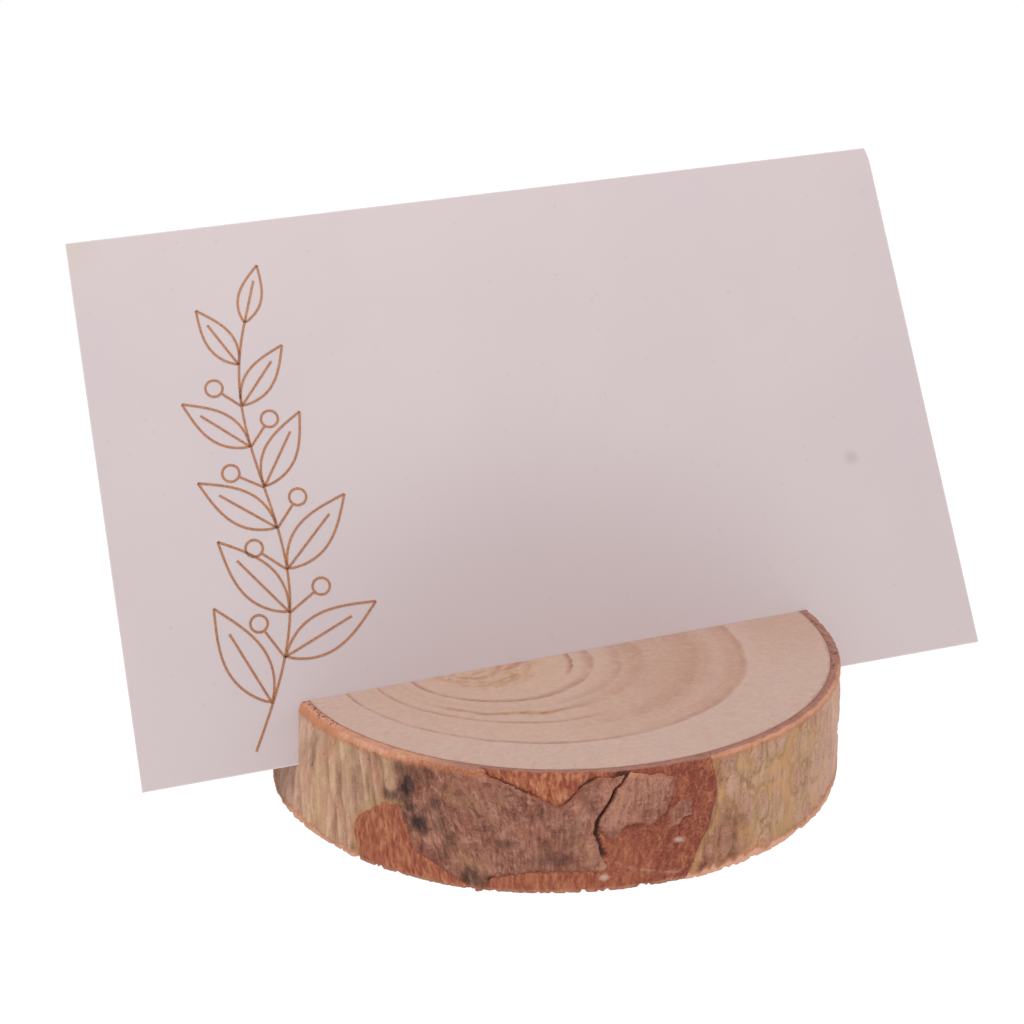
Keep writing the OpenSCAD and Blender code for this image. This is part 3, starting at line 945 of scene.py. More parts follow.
# how a plate is worn, in millimetres
plateWear = {"edge": 0.07, "proud": 0.1, "chamfer": 0.12, "leftChamfer": 0.16, "sanding": 0.9, "toe": 0.4,
             "toeRound": 0.1, "toeChips": 0.16, "lichen": 0.06, "headLoops": 4}


def plateOutside(plate, turn, z):
    # how far out of the wood's skin the plate's face stands
    w = plateWear
    relief, _ = formRelief(plate["form"], turn, z, plate["seed"])
    depth = np.clip((z - sliceShape["height"] + sandedDepth(turn)) / sandedDepth(turn), 0, 1)
    toe = np.clip((w["toe"] - z) / w["toe"], 0, 1)
    chamfer = w["chamfer"] + w["leftChamfer"] * zone("chamferLeft", turn)
    level = relief * (1 - w["sanding"] * sandedShare(turn, z)) - chamfer * depth * depth
    level = level - w["toeRound"] * toe * toe
    level = level + w["toeChips"] * toe * wobble(turn * arcPerTurn / 0.35, z / 0.5, 2, plate["seed"] + 31)
    level = level - w["lichen"] * lichenShare(turn, z)
    full = sliceShape["outerBark"] - w["edge"] + level + w["proud"]
    start = sliceShape["innerBark"] + sliceShape["hairline"] + w["edge"]
    return start + full * plateThickness(plate, turn, z) + footSwell(turn, z)


def endCap(outerLine, innerLine, rows, across, last):
    # a strip of triangles between the outer and the inner line of a plate's end
    flip = -1 if last else 1
    faces, i = [], 0
    for j in range(len(outerLine) - 1):
        while i < len(innerLine) - 1 and (i + 1) / (len(innerLine) - 1) <= j / rows:
            faces.append([innerLine[i], outerLine[j], innerLine[i + 1]][::flip])
            i += 1
        faces.append([innerLine[i], outerLine[j], outerLine[j + 1]][::flip])
    return np.array(faces) * across + last


def makePlate(name, plate):
    base = sliceShape["innerBark"] + sliceShape["hairline"]
    foot, head = np.array(plate["foot"], float), np.array(plate["head"], float)
    tall = (head[:, 1].max() - foot[:, 1].min()) * sliceShape["height"]
    columns, rows = (max(12, round(size / plate["step"])) for size in (plateWidth(plate), tall))
    u, up = np.linspace(0, 1, columns + 1), np.linspace(0, 1, rows + 1)
    turn, z = plateSpot(plate, u[None, :] + 0 * up[:, None], up[:, None] + 0 * u[None, :])
    outer, worn = plateOutside(plate, turn, z), chipped(turn, z)
    # up the outer face, in over the head and down the inner face
    loops = [skinPoint(turn[j], worn[j], outer[j]) for j in range(rows + 1)]
    headLoops = plateWear["headLoops"]
    for k in range(1, headLoops + 1):
        inward = k / (headLoops + 1)
        loops.append(skinPoint(turn[-1], worn[-1] + (z[-1] - worn[-1]) * inward,
                               outer[-1] + (base - outer[-1]) * inward))
    for s in np.linspace(1, 0, max(3, rows // 10) + 1):
        innerTurn, innerZ = plateSpot(plate, u, 0 * u + s)
        loops.append(skinPoint(innerTurn, innerZ, 0 * u + base))
    grid = np.stack(loops)
    around, across = grid.shape[:2]
    firstInner = rows + headLoops + 1
    outerLine, innerLine = list(range(firstInner + 1)), list(range(around - 1, firstInner, -1))
    caps = [endCap(outerLine, innerLine, rows, across, last) for last in (0, columns)]
    return meshFrom(name, grid.reshape(-1, 3), shellFaces(around, across, False), *caps)


barkTints = {
    "olive": tints(low=(152, 110, 90), mid=(200, 158, 128), high=(236, 199, 162), warm=(218, 160, 136),
                   green=(194, 158, 110)),
    "brown": tints(low=(102, 64, 54), mid=(152, 99, 82), high=(194, 140, 120), warm=(172, 106, 84),
                   green=(164, 124, 88)),
    **tints(light=(204, 152, 130), dark=(100, 64, 57), yellow=(212, 164, 104), ovalLow=(158, 112, 98),
            ovalHigh=(210, 164, 142), ovalEdge=(174, 142, 100), pale=(242, 200, 184), pinkLow=(144, 92, 76),
            pinkHigh=(208, 151, 129), sandedLow=(206, 144, 114), sandedHigh=(230, 174, 146),
            sandedLine=(196, 126, 86), sandedDeep=(160, 92, 62), footPale=(240, 190, 162),
            rim=(170, 120, 104), rimLeft=(212, 152, 124), rimDark=(104, 62, 52), rimInner=(142, 96, 82),
            stain=(54, 42, 42), thin=(160, 92, 72)),
}
# what sets one form's finish apart from another's
barkForms = {
    "ribs": {"finish": "ribbedBark", "stretch": 6.5, "relief": 0.8, "lift": 0.06, "thin": "yellow"},
    "ovals": {"finish": "dimpledBark", "stretch": 6.5, "relief": 0.7, "lift": 0.15, "thin": "yellow"},
    "flakes": {"finish": "flakyBark", "stretch": 4.5, "relief": 0.7, "lift": 0.1, "thin": "thin"},
}


# zones of sanded bark, in millimetres along its lie or up it
sandedZones = {"cornerUp": (5.0, 8.0), "corner": (-60.0, -64.0), "slotEnd": (-75.6, -77.6),
               "foot": (1.4, 0.5), "deepFrom": (-68.0, -61.5), "deepTo": (-45.0, -50.0)}


def barkTones(look, level, drift, green):
    base = colourRamp(level, (0.0, look["low"]), (0.45, look["mid"]), (1.0, look["high"]))
    return layered(base, look, (remap(drift, 0.45, 0.7, 0.0, 0.55), "warm"), (green, "green"))


def rimTone(place, fine, drift):
    # the sawn top of the bark, with dark specks
    _, _, out = splitUp(place)
    large = noise(place, 2.4, 3.0, 0.7) - out * 0.08
    ragged = out + (fine - 0.5) * 0.6
    return layered(
        barkTints["rim"], barkTints, (readField(place.tree, "rimSalmon"), "rimLeft"),
        (remap(drift, 0.42, 0.65, 0.0, 0.2), "rimDark"), (remap(fine, 0.57, 0.7, 0.0, 0.45), "rimDark"),
        (readField(place.tree, "rimFlecks") * remap(large, 0.5, 0.57, 0.0, 0.75), "stain"),
        (remap(ragged, 0.08, 0.2, 0.7, 0.0), "rimInner"))


def sandedTone(strokes):
    return blend(remap(strokes, 0.35, 0.65), barkTints["sandedLow"], barkTints["sandedHigh"])


def makeBarkMaterial(form):
    look, own = barkTints, barkForms[form]
    material, tree = newMaterial(own["finish"])
    place = barkPlace(tree)
    fibre, drift, strokes = useGroup(tree, barkGrain, {
        "Fibre Scale": 3.0, "Stretch": own["stretch"], "Drift Scale": 0.42, "Stroke Scale": 1.5}).values()
    fine = noise(place, 5.2, 3.0, 0.7)
    # pale carries greyer pink bark together with painted rim light where the bark turns away
    sanded, pale = readField(tree, "barkSanded"), readField(tree, "barkPale")
    level = readField(tree, "barkRelief") * own["relief"] + (fibre - 0.5) * 1.1 + (fine - 0.5)
    level = calc("ADD", level, own["lift"], clamp=True)
    greens, smears = noise(place, 0.3, 3.0, 0.6, 0.4), noise(place, 0.9, 4.0, 0.6, 0.8)
    olive = layered(barkTones(look["olive"], level, drift, remap(greens, 0.45, 0.65, 0.0, 0.5)), look,
                    (pale * 0.55, "pale"))
    if form == "ribs":
        olive = blend(0.12, olive, look["ovalEdge"])
    if form == "ovals":
        tone = readField(tree, "barkTone")
        ovalTone = blend(remap(level, 0.2, 0.85), look["ovalLow"], look["ovalHigh"])
        olive = layered(olive, look, (remap(drift, 0.45, 0.62, 0.0, 0.4), "yellow"),
                        (remap(tone, 0.0, 0.9, 0.0, 0.8), ovalTone),
                        (remap(tone, -0.2, -0.9, 0.0, 0.35), "ovalEdge"), (pale * 0.45, "pale"))
    pink = blend(remap(level, 0.15, 0.85), look["pinkLow"], look["pinkHigh"])
    brown = layered(
        barkTones(look["brown"], level, drift, remap(greens, 0.5, 0.7, 0.0, 0.5)), look,
        (remap(strokes, 0.53, 0.68, 0.0, 0.7), "light"), (remap(strokes, 0.46, 0.32, 0.0, 0.8), "dark"),
        (remap(smears, 0.54, 0.67, 0.0, 0.5), "light"), (remap(smears, 0.47, 0.34, 0.0, 0.6), "dark"),
        (readField(tree, "barkPink") * 0.65, pink))
    # sanded bark: yellower in the slot's corner, paler at the foot, browner up to the pocket
    lie, up, _ = splitUp(place)
    zones = sandedZones
    smooth = layered(sandedTone(strokes), look,
                     (remap(up, *zones["cornerUp"]) * remap(lie, *zones["corner"]) * 0.12, "sandedLine"),
                     (remap(lie, *zones["slotEnd"]) * 0.6, "sandedLine"),
                     (remap(up, *zones["foot"], 0.0, 0.55), "footPale"))
    if form != "ovals":
        inFront = remap(lie, *zones["deepFrom"]) * remap(lie, *zones["deepTo"])
        smooth = blend(inFront * remap(fine, 0.38, 0.6, 0.95, 0.45), smooth, look["sandedDeep"])
    border = calc("MULTIPLY", sanded * (1.0 - sanded), remap(fine, 0.4, 0.6, 0.8, 3.2), clamp=True)
    base = layered(
        olive, look, (readField(tree, "barkMauve"), brown),
        (readField(tree, "barkThin") * remap(fibre, 0.35, 0.6, 0.1, 0.5), own["thin"]),
        (readField(tree, "barkStain") * remap(strokes, 0.62, 0.42, 0.7, 1.0) * 0.95, "stain"),
        (speckled(tree, 2600.0, 0.05) * 0.4, "rimDark"), (sanded, smooth), (border, "sandedLine"),
        (readField(tree, "barkRim"), rimTone(place, fine, drift)))
    rough, worn = evenly(sanded, 0.0, 1.0, 0.86, 0.72), evenly(sanded, 0.0, 1.0, 1.0, 0.35)
    return dress(material, {"Base Color": base, "Roughness": rough, "Specular IOR Level": 0.2},
                 (fibre * 0.8 + fine * 0.5) * worn, 0.0002, 0.8)


barkMaterials = {form: makeBarkMaterial(form) for form in barkForms}
for plateName, plate in barkPlates.items():
    plateMesh = makePlate(plateName, plate)
    if plate["slotted"]:
        plateMesh = sawnThrough(plateMesh)
    putBarkFields(plateMesh, plate)
    finishPiece(plateName, plateMesh, "slice", [plate["node"]],
                barkMaterials[plate["form"]], sharpAngle=50)
print("outer bark done")


# the inner bark: a thin soft ring round the wood that shows wherever the plates are gone
underTints = {
    "maroon": [tint(124, 58, 47), tint(150, 82, 63), tint(186, 114, 87)],
    "orange": [tint(144, 70, 50), tint(178, 104, 76), tint(198, 128, 94), tint(214, 154, 118)],
    # dark is painted shade for the deep crack and the pocket's lower edge
    **tints(yellow=(206, 146, 90), pale=(226, 192, 178), dark=(58, 32, 27)),
}
# fine pale cracks in the bare bark, each a line of turn and height, and two pale spots
paleCracks = [[(-94.2, 3.0), (-91.7, 2.3), (-89.5, 1.8), (-87.0, 1.5), (-84.8, 1.1), (-82.0, 0.9),
               (-80.6, 1.2)],
              [(-102.3, 1.7), (-102.0, 0.9), (-102.4, 0.1)]]
paleSpots = [(-82.2, 3.8), (-94.4, 1.3)]
innerBarkShape = {"fineStep": 0.13, "coarseStep": 0.5, "fineFrom": -166, "fineTo": -70, "seed": 5,
                  "raised": 0.36, "patchRaised": 0.08, "fibre": 0.16, "lump": 0.12,
                  "toe": 0.4, "toeChips": 0.2, "toeRound": 0.1}


def coveredByPlates(turn, share):
    covered = np.zeros(turn.shape)
    for plate in barkPlates.values():
        for full in (-360, 0, 360):
            left, right = edgeTurn(plate["left"], share), edgeTurn(plate["right"], share)
            u = (turn + full - left) / (right - left)
            foot, head = (np.interp(u, *np.array(plate[end], float).T) for end in ("foot", "head"))
            inside = (u > 0) & (u < 1) & (share >= foot - 0.001) & (share <= head + 0.001)
            covered = np.maximum(covered, inside)
    return covered


def softened(field, times):
    for _ in range(times):
        field = (np.roll(field, 1, axis=1) + field * 2 + np.roll(field, -1, axis=1)) / 4
        padded = np.vstack([field[:1], field, field[-1:]])
        field = (padded[:-2] + padded[1:-1] * 2 + padded[2:]) / 4
    return field


def underRegions(turn, z):
    # the pocket under the front plate's head, the reddish patch, and the bare bark right of the flake
    along = turn * arcPerTurn
    fray = 4 * wobble(along / 1.6, z / 1.6, 0, 61)
    pocket = zone("pocketFoot", z) * zone("pocketLeft", turn) * zone("pocketRight", turn)
    patch = zone("patchLeft", turn + fray) * zone("patchRight", turn + fray)
    return pocket, patch, zone("maroonFrom", turn + 0.5 * fray)


def makeInnerBark():
    # the mesh, and the painted shade along its edges at each of its turns and heights
    s = innerBarkShape
    height, thick = sliceShape["height"], sliceShape["innerBark"]
    fine = np.arange(s["fineFrom"], s["fineTo"], s["fineStep"] / arcPerTurn)
    coarse = np.arange(s["fineTo"], s["fineFrom"] + 360, s["coarseStep"] / arcPerTurn)
    turns = np.concatenate([fine, coarse])
    rows = round(height / s["fineStep"])
    z = np.linspace(0, height, rows + 1)[:, None] + 0 * turns[None, :]
    turn = turns[None, :] + 0 * z
    bare = 1 - coveredByPlates(turn, z / height)
    bareNear, bareWide = softened(bare, 8), smoothStep(0.12, 0.5, softened(bare, 40))
    along = turn * arcPerTurn
    fibres = wobble(along / 0.34, z / 2.2, 0, s["seed"], fade=0.6)
    lumps = wobble(along / 1.1, z / 1.0, 0, s["seed"] + 4, fade=0.6)
    edgeFree = np.minimum(smoothStep(0, 0.35, z), smoothStep(height, height - 0.3, z))
    # bare bark stands nearly as high as the plates, but for the pocket and the cracks
    pocket, patch, maroonRight = underRegions(turn, z)
    more = s["patchRaised"]
    raised = s["raised"] + more * patch + more * maroonRight - s["raised"] * pocket
    level = raised * bareWide * (1 - 0.25 * (1 - edgeFree))
    level = level + bareNear * edgeFree * (s["fibre"] * fibres + s["lump"] * lumps)
    toe = np.clip((s["toe"] - z) / s["toe"], 0, 1)
    chips = s["toeChips"] * wobble(along / 0.35, z / 0.5, 2, 33) - s["toeRound"] * toe
    level = level + bareNear * toe * chips
    outer = thick + sliceShape["hairline"] + level + footSwell(turn, z) * bareWide
    # painted shade: only the deep crack and the pocket under the front plate's head are darkened along their
    # edges, where the plates keep light out
    fromCrack = turn - edgeTurn(("crackMain", 0), z / height)
    crackShade = smoothStep(0.5, 0.1, fromCrack) * smoothStep(-3.0, -2.0, fromCrack) * smoothStep(2.9, 3.5, z)
    dark = np.maximum(smoothStep(0.9, 0.45, bareNear) * pocket, crackShade)
    worn = z + (chipped(turn, z) - z) * bareWide
    # up the outer side, in over the top and down the wood
    loops = [skinPoint(turns, worn[j], outer[j]) for j in range(rows + 1)]
    for k in (1, 2):
        loops.append(skinPoint(turns, worn[-1] + (z[-1] - worn[-1]) * k / 3, outer[-1] * (1 - k / 3)))
    for share in (1.0, 0.66, 0.33, 0.0):
        loops.append(skinPoint(turns, 0 * turns + height * share, 0 * turns))
    grid = np.stack(loops)
    faces = shellFaces(len(loops), len(turns), True)
    return meshFrom("innerBark", grid.reshape(-1, 3), faces), turns, z[:, 0], dark


def underOrange(turn, z):
    # the pocket, the patch beside it, and a strip along the foot
    fray = 5 * wobble(turn * arcPerTurn / 2.0, z / 2.0, 0, 61)
    pocket, patch, _ = underRegions(turn, z)
    strip = zone("stripLeft", turn) * zone("pocketRight", turn) * zone("stripTop", z)
    beside = 0.7 * zone("besideLeft", turn) * zone("besideRight", turn + fray)
    strip = np.maximum(strip, beside * zone("besideTop", z + 0.3 * fray))
    return np.maximum.reduce([pocket, 0.75 * patch, 0.62 * strip])


def underPale(turn, z):
    along = turn * arcPerTurn
    pale = np.zeros(turn.shape)
    for spotTurn, spotZ in paleSpots:
        reach = np.hypot((along - spotTurn * arcPerTurn) / 0.5, (z - spotZ) / 0.3)
        pale = np.maximum(pale, smoothStep(1.1, 0.4, reach + 0.8 * wobble(along / 0.3, z / 0.3, 0, 44)))
    broken = layeredCloud(along / 0.6, z / 0.5, 0, 45, fade=0.7)
    for line in paleCracks:
        run = np.linspace(0, len(line) - 1, 160)
        lineTurn, lineZ = (np.interp(run, range(len(line)), values) for values in zip(*line))
        near = (turn > lineTurn.min() - 1) & (turn < lineTurn.max() + 1) & (z < lineZ.max() + 0.5)
        away = np.full(turn.shape, 9.0)
        away[near] = edgeDistance(turn[near], z[near], lineTurn, lineZ)
        pale = np.maximum(pale, 0.45 * smoothStep(0.16, 0.04, away) * smoothStep(0.38, 0.6, broken))
    return pale


def putUnderFields(mesh, turns, heights, dark):
    turn, z, out = skinPlace(pointsOf(mesh))
    ahead = np.where(turn < turns[0], turn + 360, turn)
    column = np.clip(np.searchsorted(turns, ahead), 0, len(turns) - 1)
    row = np.clip(np.round(z / sliceShape["height"] * (len(heights) - 1)).astype(int), 0, len(heights) - 1)
    putRimFields(mesh, turn, z, out)
    # dark carries the painted shade of the deep crack and the pocket's lower edge
    putAttributes(mesh, underOrange=underOrange(turn, z), underPale=underPale(turn, z),
                  underDark=dark[row, column], barkSanded=smoothStep(0.45, 0.3, z))


def makeUnderBarkMaterial():
    look = underTints
    material, tree = newMaterial("underBark")
    place = barkPlace(tree)
    fibre, drift, strokes = useGroup(tree, barkGrain, {
        "Fibre Scale": 2.6, "Stretch": 2.6, "Drift Scale": 0.7, "Stroke Scale": 1.8}).values()
    fine = noise(place, 4.3, 3.0, 0.7)
    maroon = colourRamp(remap((fine + strokes) * 0.5, 0.34, 0.66), *zip((0.0, 0.5, 1.0), look["maroon"]))
    orange = colourRamp(remap(fibre, 0.28, 0.72), *zip((0.0, 0.45, 0.8, 1.0), look["orange"]))
    base = layered(
        maroon, look, (readField(tree, "underOrange"), orange),
        (remap(strokes, 0.54, 0.66) * remap(drift, 0.45, 0.62, 0.05, 0.4), "yellow"),
        # painted shade in the deep crack and along the pocket's lower edge
        (readField(tree, "underPale") * 0.7, "pale"), (readField(tree, "underDark") * 0.9, "dark"),
        (readField(tree, "barkSanded") * 0.5, sandedTone(strokes)),
        (readField(tree, "barkRim"), rimTone(place, fine, drift)))
    rough = evenly(fine, 0.3, 0.7, 0.7, 0.85)
    return dress(material, {"Base Color": base, "Roughness": rough, "Specular IOR Level": 0.25},
                 fibre + fine * 0.6, 0.0002, 0.8)


innerMesh, *underDarkness = makeInnerBark()
innerMesh = sawnThrough(innerMesh)
putUnderFields(innerMesh, *underDarkness)
finishPiece("innerBark", innerMesh, "slice", ["inner_bark"], makeUnderBarkMaterial(),
            sharpAngle=50)
print("inner bark done")


# the card stands in the slot and leans back with it
cardShape = {"width": 89, "height": 57, "middleX": 2.7, "frontGap": 0.05, "floorGap": 0.02}
cardLook = tints(paper=(216, 202, 203), cool=(214, 200, 202), warm=(219, 203, 201), shade=(196, 178, 179),
                 edge=(238, 228, 226), smudge=(176, 162, 166), corner=(212, 196, 178))
# marks on the card and the painted shade round the slot: middle, where each is full and where it ends
cardMarks = {"paintedSlotShade": ((0.0, 4.0), 8.0, 33.0), "smudge": ((79.3, 22.2), 0.2, 1.15),
             "corner": ((0.0, 57.0), 0.3, 4.5)}
cardMatrix = slotMatrix @ Matrix.Translation((cardShape["middleX"] - cardShape["width"] / 2,
                                              cardShape["frontGap"], cardShape["floorGap"]))


def alongAxis(place, axis):
    # how far a point lies along one of the card's own axes, in millimetres
    moved = vectorCalc("SUBTRACT", place, tuple(cardMatrix.translation * mm))
    return vectorCalc("DOT_PRODUCT", moved, tuple(axis), output="Value") * (1 / mm)


def spotMask(x, y, middle, inner, outer):
    dx, dy = x - middle[0], y - middle[1]
    return remap(calc("SQRT", dx * dx + dy * dy), inner, outer, 1.0, 0.0)


def makeCardMaterial():
    material, tree = newMaterial("uncoatedCard")
    place, axes = objectPlace(tree), cardMatrix.to_3x3().col
    x, y = alongAxis(place, axes[0]), alongAxis(place, axes[2])
    fibres, tooth = noise(place, 2600.0, 4.0, 0.7, 0.6), noise(place, 7000.0, 2.0, 0.6)
    # painted shade: the paper is made a little greyer round the slot, where the slice keeps light off the
    # card, and the cut edges show the lighter core of the paper
    paintedSlotShade = spotMask((x - 41.0) * 0.8, y, *cardMarks["paintedSlotShade"])
    inX, inY = calc("MINIMUM", x, cardShape["width"] - x), calc("MINIMUM", y, cardShape["height"] - y)
    border = remap(calc("MINIMUM", inX, inY), 0.02, 0.16, 1.0, 0.0)
    base = layered(
        blend(remap(noise(place, 60.0, 2.0), 0.35, 0.65), cardLook["cool"], cardLook["paper"]), cardLook,
        (remap(fibres, 0.5, 0.75, 0.0, 0.35), "warm"), (paintedSlotShade * 0.6, "shade"),
        (spotMask(x, y + fibres * 0.3, *cardMarks["smudge"]) * 0.36, "smudge"),
        (spotMask(x, y, *cardMarks["corner"]) * 0.4, "corner"),
        (speckled(tree, 1500.0, 0.02) * 0.16, "smudge"), (border * 0.6, "edge"))
    rough = evenly(fibres, 0.3, 0.7, 0.82, 0.94)
    return dress(material, {"Base Color": base, "Roughness": rough, "Specular IOR Level": 0.15},
                 fibres * 0.7 + tooth * 0.5, 0.00002, 0.35)


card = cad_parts["place_card"]
card.data.materials.clear()
card.data.materials.append(makeCardMaterial())
print("card done")

# the print: a sprig of leaves and berries in copper lines, grown along a swaying stem
sprigSizes = {"Foot X": 11.5, "Foot Y": 2.0, "Height": 44.0, "Bend": 8.0, "Sway": 3.0, "Line Width": 0.26,
              "Foil": 0.03, "Leaf Length": 12.0, "Leaf Width": 4.6, "Berry Radius": 1.0, "Stalk": 3.6}
sprigShape = {"leafCount": 9, "swayTurns": 300.0, "shrink": 0.42, "leafLean": 50.0, "leafLift": 12.0,
              "berryLean": 48.0, "tipShare": 0.55, "ribShare": 0.72, "firstLeaf": 0.1, "leafSpan": 0.8}
sprigPoints = {"stem": 90, "leafEdge": 28, "rib": 4, "berry": 36}


def makeSprigTree():
    s, points = sprigShape, sprigPoints
    swing, leafLean, leafLift, berryLean = (math.radians(s[key]) for key in
                                            ("swayTurns", "leafLean", "leafLift", "berryLean"))
    tree, given = newTree("sprigOfLeaves", "Geometry", {
        "Float": list(sprigSizes), "Int": ["Leaf Count"], "Vector": ["Place", "Turn"],
        "Material": ["Finish"]}, {"Geometry": ["Geometry"]})

    def stemSpot(share):
        swayed = given["Sway"] * calc("SINE", share * swing)
        across = given["Foot X"] + given["Bend"] * share + swayed
        return vectorOf(tree, across, given["Foot Y"] + given["Height"] * share)

    def stemHeading(share):
        slope = calc("COSINE", share * swing) * swing
        return calc("ARCTAN2", given["Height"], given["Bend"] + given["Sway"] * slope)

    def turned(angles):
        return wire(tree, "FunctionNodeEulerToRotation", {0: angles})

    def lineCurve(count):
        line = wire(tree, "GeometryNodeCurvePrimitiveLine", {"Start": (0, 0, 0), "End": (1, 0, 0)})
        return wire(tree, "GeometryNodeResampleCurve", {"Curve": line, "Count": count})

    def onPoints(spots, instance, **inputs):
        return wire(tree, "GeometryNodeInstanceOnPoints", {"Points": spots, "Instance": instance, **inputs})

    def moved(shape, **inputs):
        return wire(tree, "GeometryNodeSetPosition", {"Geometry": shape, **inputs})

    along = wire(tree, "GeometryNodeSplineParameter", output="Factor")
    stem = moved(lineCurve(points["stem"]), Position=stemSpot(along))

    # one leaf, base at the origin, drawn inside its own edge by half a line
    half = given["Line Width"] * 0.5
    inset = half * 1.6
    leafX = inset + (given["Leaf Length"] - inset * 2.0) * along
    belly = calc("SINE", calc("POWER", along, 0.8) * math.pi)
    leafY = (given["Leaf Width"] * 0.5 - half) * belly
    ribX = given["Leaf Length"] * s["ribShare"] * along
    leaf = wire(tree, "GeometryNodeJoinGeometry", {"Geometry": [
        moved(lineCurve(points["leafEdge"]), Position=vectorOf(tree, leafX, leafY)),
        moved(lineCurve(points["leafEdge"]), Position=vectorOf(tree, leafX, leafY * -1.0)),
        moved(lineCurve(points["rib"]), Position=vectorOf(tree, ribX))]})

    # leaves to the left and right by turns, smaller towards the tip, and one at the tip itself
    index = wire(tree, "GeometryNodeInputIndex")
    last = given["Leaf Count"] - 1.0
    share = index * s["leafSpan"] / last + s["firstLeaf"]
    side = 1.0 - calc("MODULO", index, 2.0) * 2.0
    size, heading = 1.0 - share * s["shrink"], stemHeading(share)
    joints = wire(tree, "GeometryNodePoints", {"Count": given["Leaf Count"], "Position": stemSpot(share)})
    leafAngle = heading + side * (leafLean - share * leafLift)
    leaves = onPoints(joints, leaf, Rotation=turned(vectorOf(tree, z=leafAngle)), Scale=size)
    top = addNode(tree, "ShaderNodeValue")
    top.outputs[0].default_value = 1.0
    end = Wire(top.outputs[0])
    tipSpot = wire(tree, "GeometryNodePoints", {"Count": 1, "Position": stemSpot(end)})
    tip = onPoints(tipSpot, leaf, Rotation=turned(vectorOf(tree, z=stemHeading(end))),
                   Scale=(s["tipShare"],) * 3)

    # a stalk and a berry opposite each leaf but the first and the last
    inner = calc("GREATER_THAN", index, 0.5) * calc("LESS_THAN", index, last - 0.5)
    berryAngle, stalkLong = heading - side * berryLean, given["Stalk"] * size
    stalks = onPoints(joints, lineCurve(2), Selection=inner, Rotation=turned(vectorOf(tree, z=berryAngle)),
                      Scale=vectorOf(tree, stalkLong, 1.0, 1.0))
    outTo = stalkLong + given["Berry Radius"]
    push = vectorOf(tree, outTo * calc("COSINE", berryAngle), outTo * calc("SINE", berryAngle))
    berry = wire(tree, "GeometryNodeCurvePrimitiveCircle",
                 {"Resolution": points["berry"], "Radius": given["Berry Radius"] - half})
    berries = onPoints(moved(joints, Offset=push), berry, Selection=inner)

    # the lines get their width and thickness, and then their place on the card
    allLines = wire(tree, "GeometryNodeJoinGeometry", {"Geometry": [stem, leaves, tip, stalks, berries]})
    lines = wire(tree, "GeometryNodeRealizeInstances", {"Geometry": allLines})
    solid = wire(tree, "GeometryNodeCurveToMesh", {
        "Curve": wire(tree, "GeometryNodeSetCurveNormal", {"Curve": lines}, mode="Z_UP"),
        "Profile Curve": wire(tree, "GeometryNodeCurvePrimitiveQuadrilateral",
                              {"Width": given["Line Width"], "Height": given["Foil"]}),
        "Fill Caps": True})
    raised = wire(tree, "GeometryNodeTransform",
                  {"Geometry": solid, "Translation": vectorOf(tree, z=given["Foil"] * 0.5)})
    onCard = wire(tree, "GeometryNodeTransform",
                  {"Geometry": raised, "Translation": given["Place"], "Rotation": turned(given["Turn"])})
    return endTree(tree, onCard, given["Finish"])


def makeCopperMaterial():
    look = tints(low=(148, 96, 66), high=(186, 132, 98), dull=(160, 112, 92))
    material, tree = newMaterial("copperPrint")
    place = objectPlace(tree)
    grains, drift = noise(place, 6500.0, 2.0, 0.6), noise(place, 500.0, 3.0, 0.6)
    base = layered(blend(remap(grains, 0.35, 0.65), look["low"], look["high"]), look,
                   (remap(drift, 0.4, 0.7, 0.0, 0.5), "dull"))
    rough = evenly(grains, 0.3, 0.7, 0.48, 0.62)
    return dress(material, {"Base Color": base, "Roughness": rough, "Metallic": 0.25}, grains, 0.00001, 0.4)


copperPrint = makeCopperMaterial()
printMatrix = cardMatrix @ Matrix.Rotation(math.radians(90), 4, "X")
sprigMesh = meshByTree(makeSprigTree(), "foilSprig", {
    **{name: size * mm for name, size in sprigSizes.items()}, "Leaf Count": sprigShape["leafCount"],
    "Place": tuple(printMatrix.translation * mm), "Turn": tuple(printMatrix.to_euler()),
    "Finish": copperPrint})
finishPiece("foilSprig", sprigMesh, "card", ["card_print"], copperPrint, sharpAngle=30)
print("print done")


# floor, light and camera: sizes and places in metres, but for the camera's
stageLook = {"floorHalf": 3, "floorTone": 0.95, "floorBright": 1.16, "floorSeen": 0.84, "roomLight": 0.45}
white = (1.0, 1.0, 1.0, 1.0)
lamps = {
    "overhead": {"place": (-0.04, -0.09, 0.32), "aim": (0, 0, 0), "size": 0.20, "power": 0.56},
    "frontSoft": {"place": (0.27, -0.40, 0.08), "aim": (0, 0, 0.02), "size": 0.30, "power": 0.24},
}
cameraView = {"lens": 52.67, "azimuth": -10.054, "elevation": 17.159, "roll": -6.39, "distance": 150.97,
              "target": (-1.391, 0.0, 26.519)}


def seenDirectly(tree):
    # 1 where the camera looks, also in a reflection or through glass
    ray = wiresOf(addNode(tree, "ShaderNodeLightPath"))
    direct = calc("MAXIMUM", ray["Is Camera Ray"], ray["Is Glossy Ray"])
    return calc("MAXIMUM", direct, ray["Is Transmission Ray"])


def emptied(holder):
    # a material's or a world's own tree, with nothing in it
    holder.use_nodes = True
    holder.node_tree.nodes.clear()
    return holder.node_tree


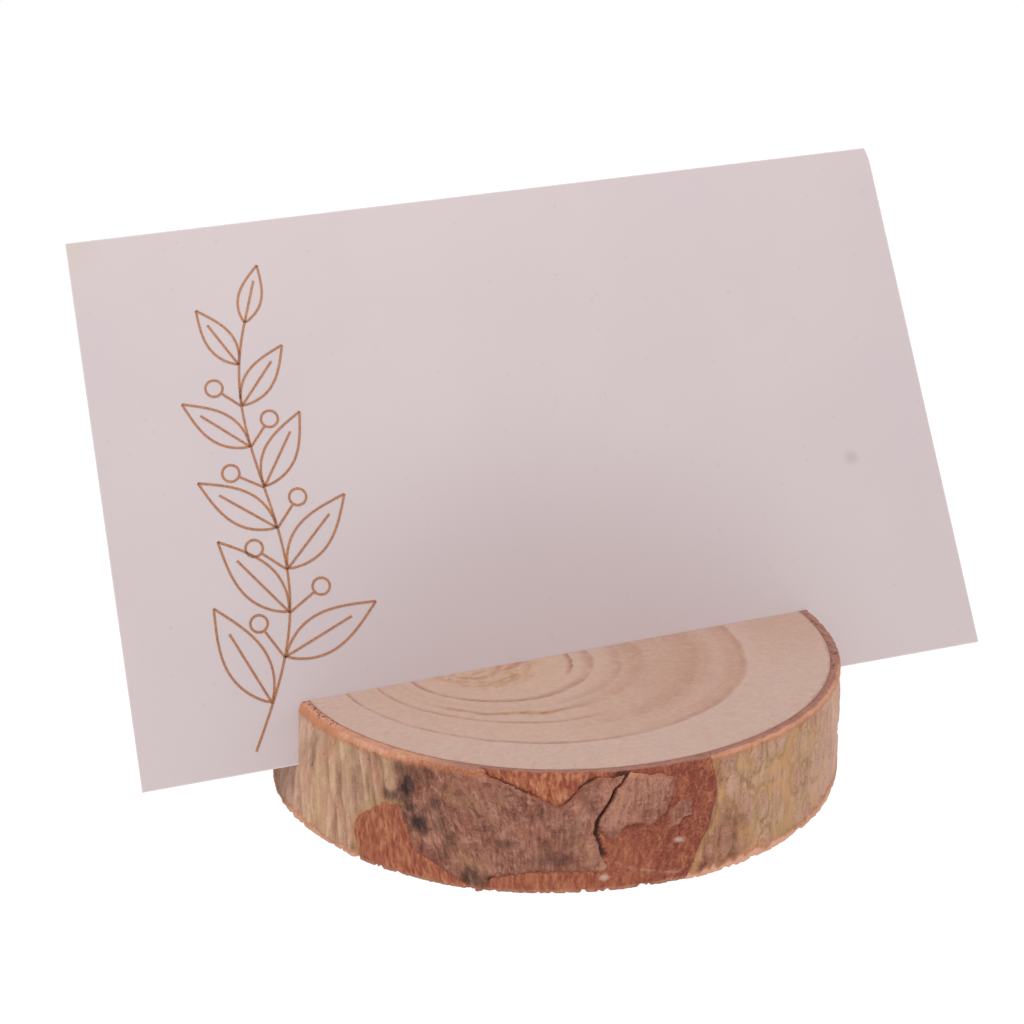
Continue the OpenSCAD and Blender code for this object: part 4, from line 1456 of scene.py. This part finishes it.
def makeFloor():
    look, half = stageLook, stageLook["floorHalf"]
    floor = placed("floor", bpy.data.meshes.new("floor"))
    floor.data.from_pydata([(-half, -half, 0), (half, -half, 0), (half, half, 0), (-half, half, 0)], [],
                           [(0, 1, 2, 3)])
    material = bpy.data.materials.new("whiteTable")
    tree = emptied(material)
    matte = wire(tree, "ShaderNodeBsdfDiffuse", {"Color": (look["floorTone"],) * 3 + (1.0,)})
    bright = wire(tree, "ShaderNodeEmission", {"Color": white, "Strength": look["floorBright"]})
    share = seenDirectly(tree) * look["floorSeen"]
    mixed = wire(tree, "ShaderNodeMixShader", {0: share, 1: matte, 2: bright})
    addNode(tree, "ShaderNodeOutputMaterial", {"Surface": mixed})
    floor.data.materials.append(material)


def makeWorld():
    world = bpy.data.worlds.new("softRoom")
    bpy.context.scene.world = world
    tree = emptied(world)
    level = evenly(seenDirectly(tree), 0.0, 1.0, stageLook["roomLight"], 1.0)
    glow = wire(tree, "ShaderNodeBackground", {"Color": white, "Strength": level})
    addNode(tree, "ShaderNodeOutputWorld", {"Surface": glow})


def makeLamp(name, setting):
    lamp = bpy.data.lights.new(name, "AREA")
    lamp.shape, lamp.size, lamp.energy = "DISK", setting["size"], setting["power"]
    place, aim = Vector(setting["place"]), Vector(setting["aim"])
    turn = (aim - place).to_track_quat("-Z", "Y").to_matrix().to_4x4()
    placed(name, lamp).matrix_world = Matrix.Translation(place) @ turn


def makeCamera():
    v = cameraView
    camera = bpy.data.cameras.new("camera")
    camera.lens, camera.sensor_width = v["lens"], 36
    camera.clip_start, camera.clip_end = 0.005, 20
    az, el, roll = (math.radians(v[key]) for key in ("azimuth", "elevation", "roll"))
    back = Vector((math.sin(az) * math.cos(el), -math.cos(az) * math.cos(el), math.sin(el)))
    right = (-back).cross(Vector((0, 0, 1))).normalized()
    up = right.cross(-back)
    rolledRight = math.cos(roll) * right + math.sin(roll) * up
    rolledUp = -math.sin(roll) * right + math.cos(roll) * up
    place = (Vector(v["target"]) + back * v["distance"]) * mm
    turn = Matrix((rolledRight, rolledUp, back)).transposed().to_4x4()
    holder = placed("camera", camera)
    holder.matrix_world = Matrix.Translation(place) @ turn
    bpy.context.scene.camera = holder


makeFloor()
makeWorld()
for lampName, lampSetting in lamps.items():
    makeLamp(lampName, lampSetting)
makeCamera()
bpy.context.scene.view_settings.view_transform = "Standard"
print("stage done")
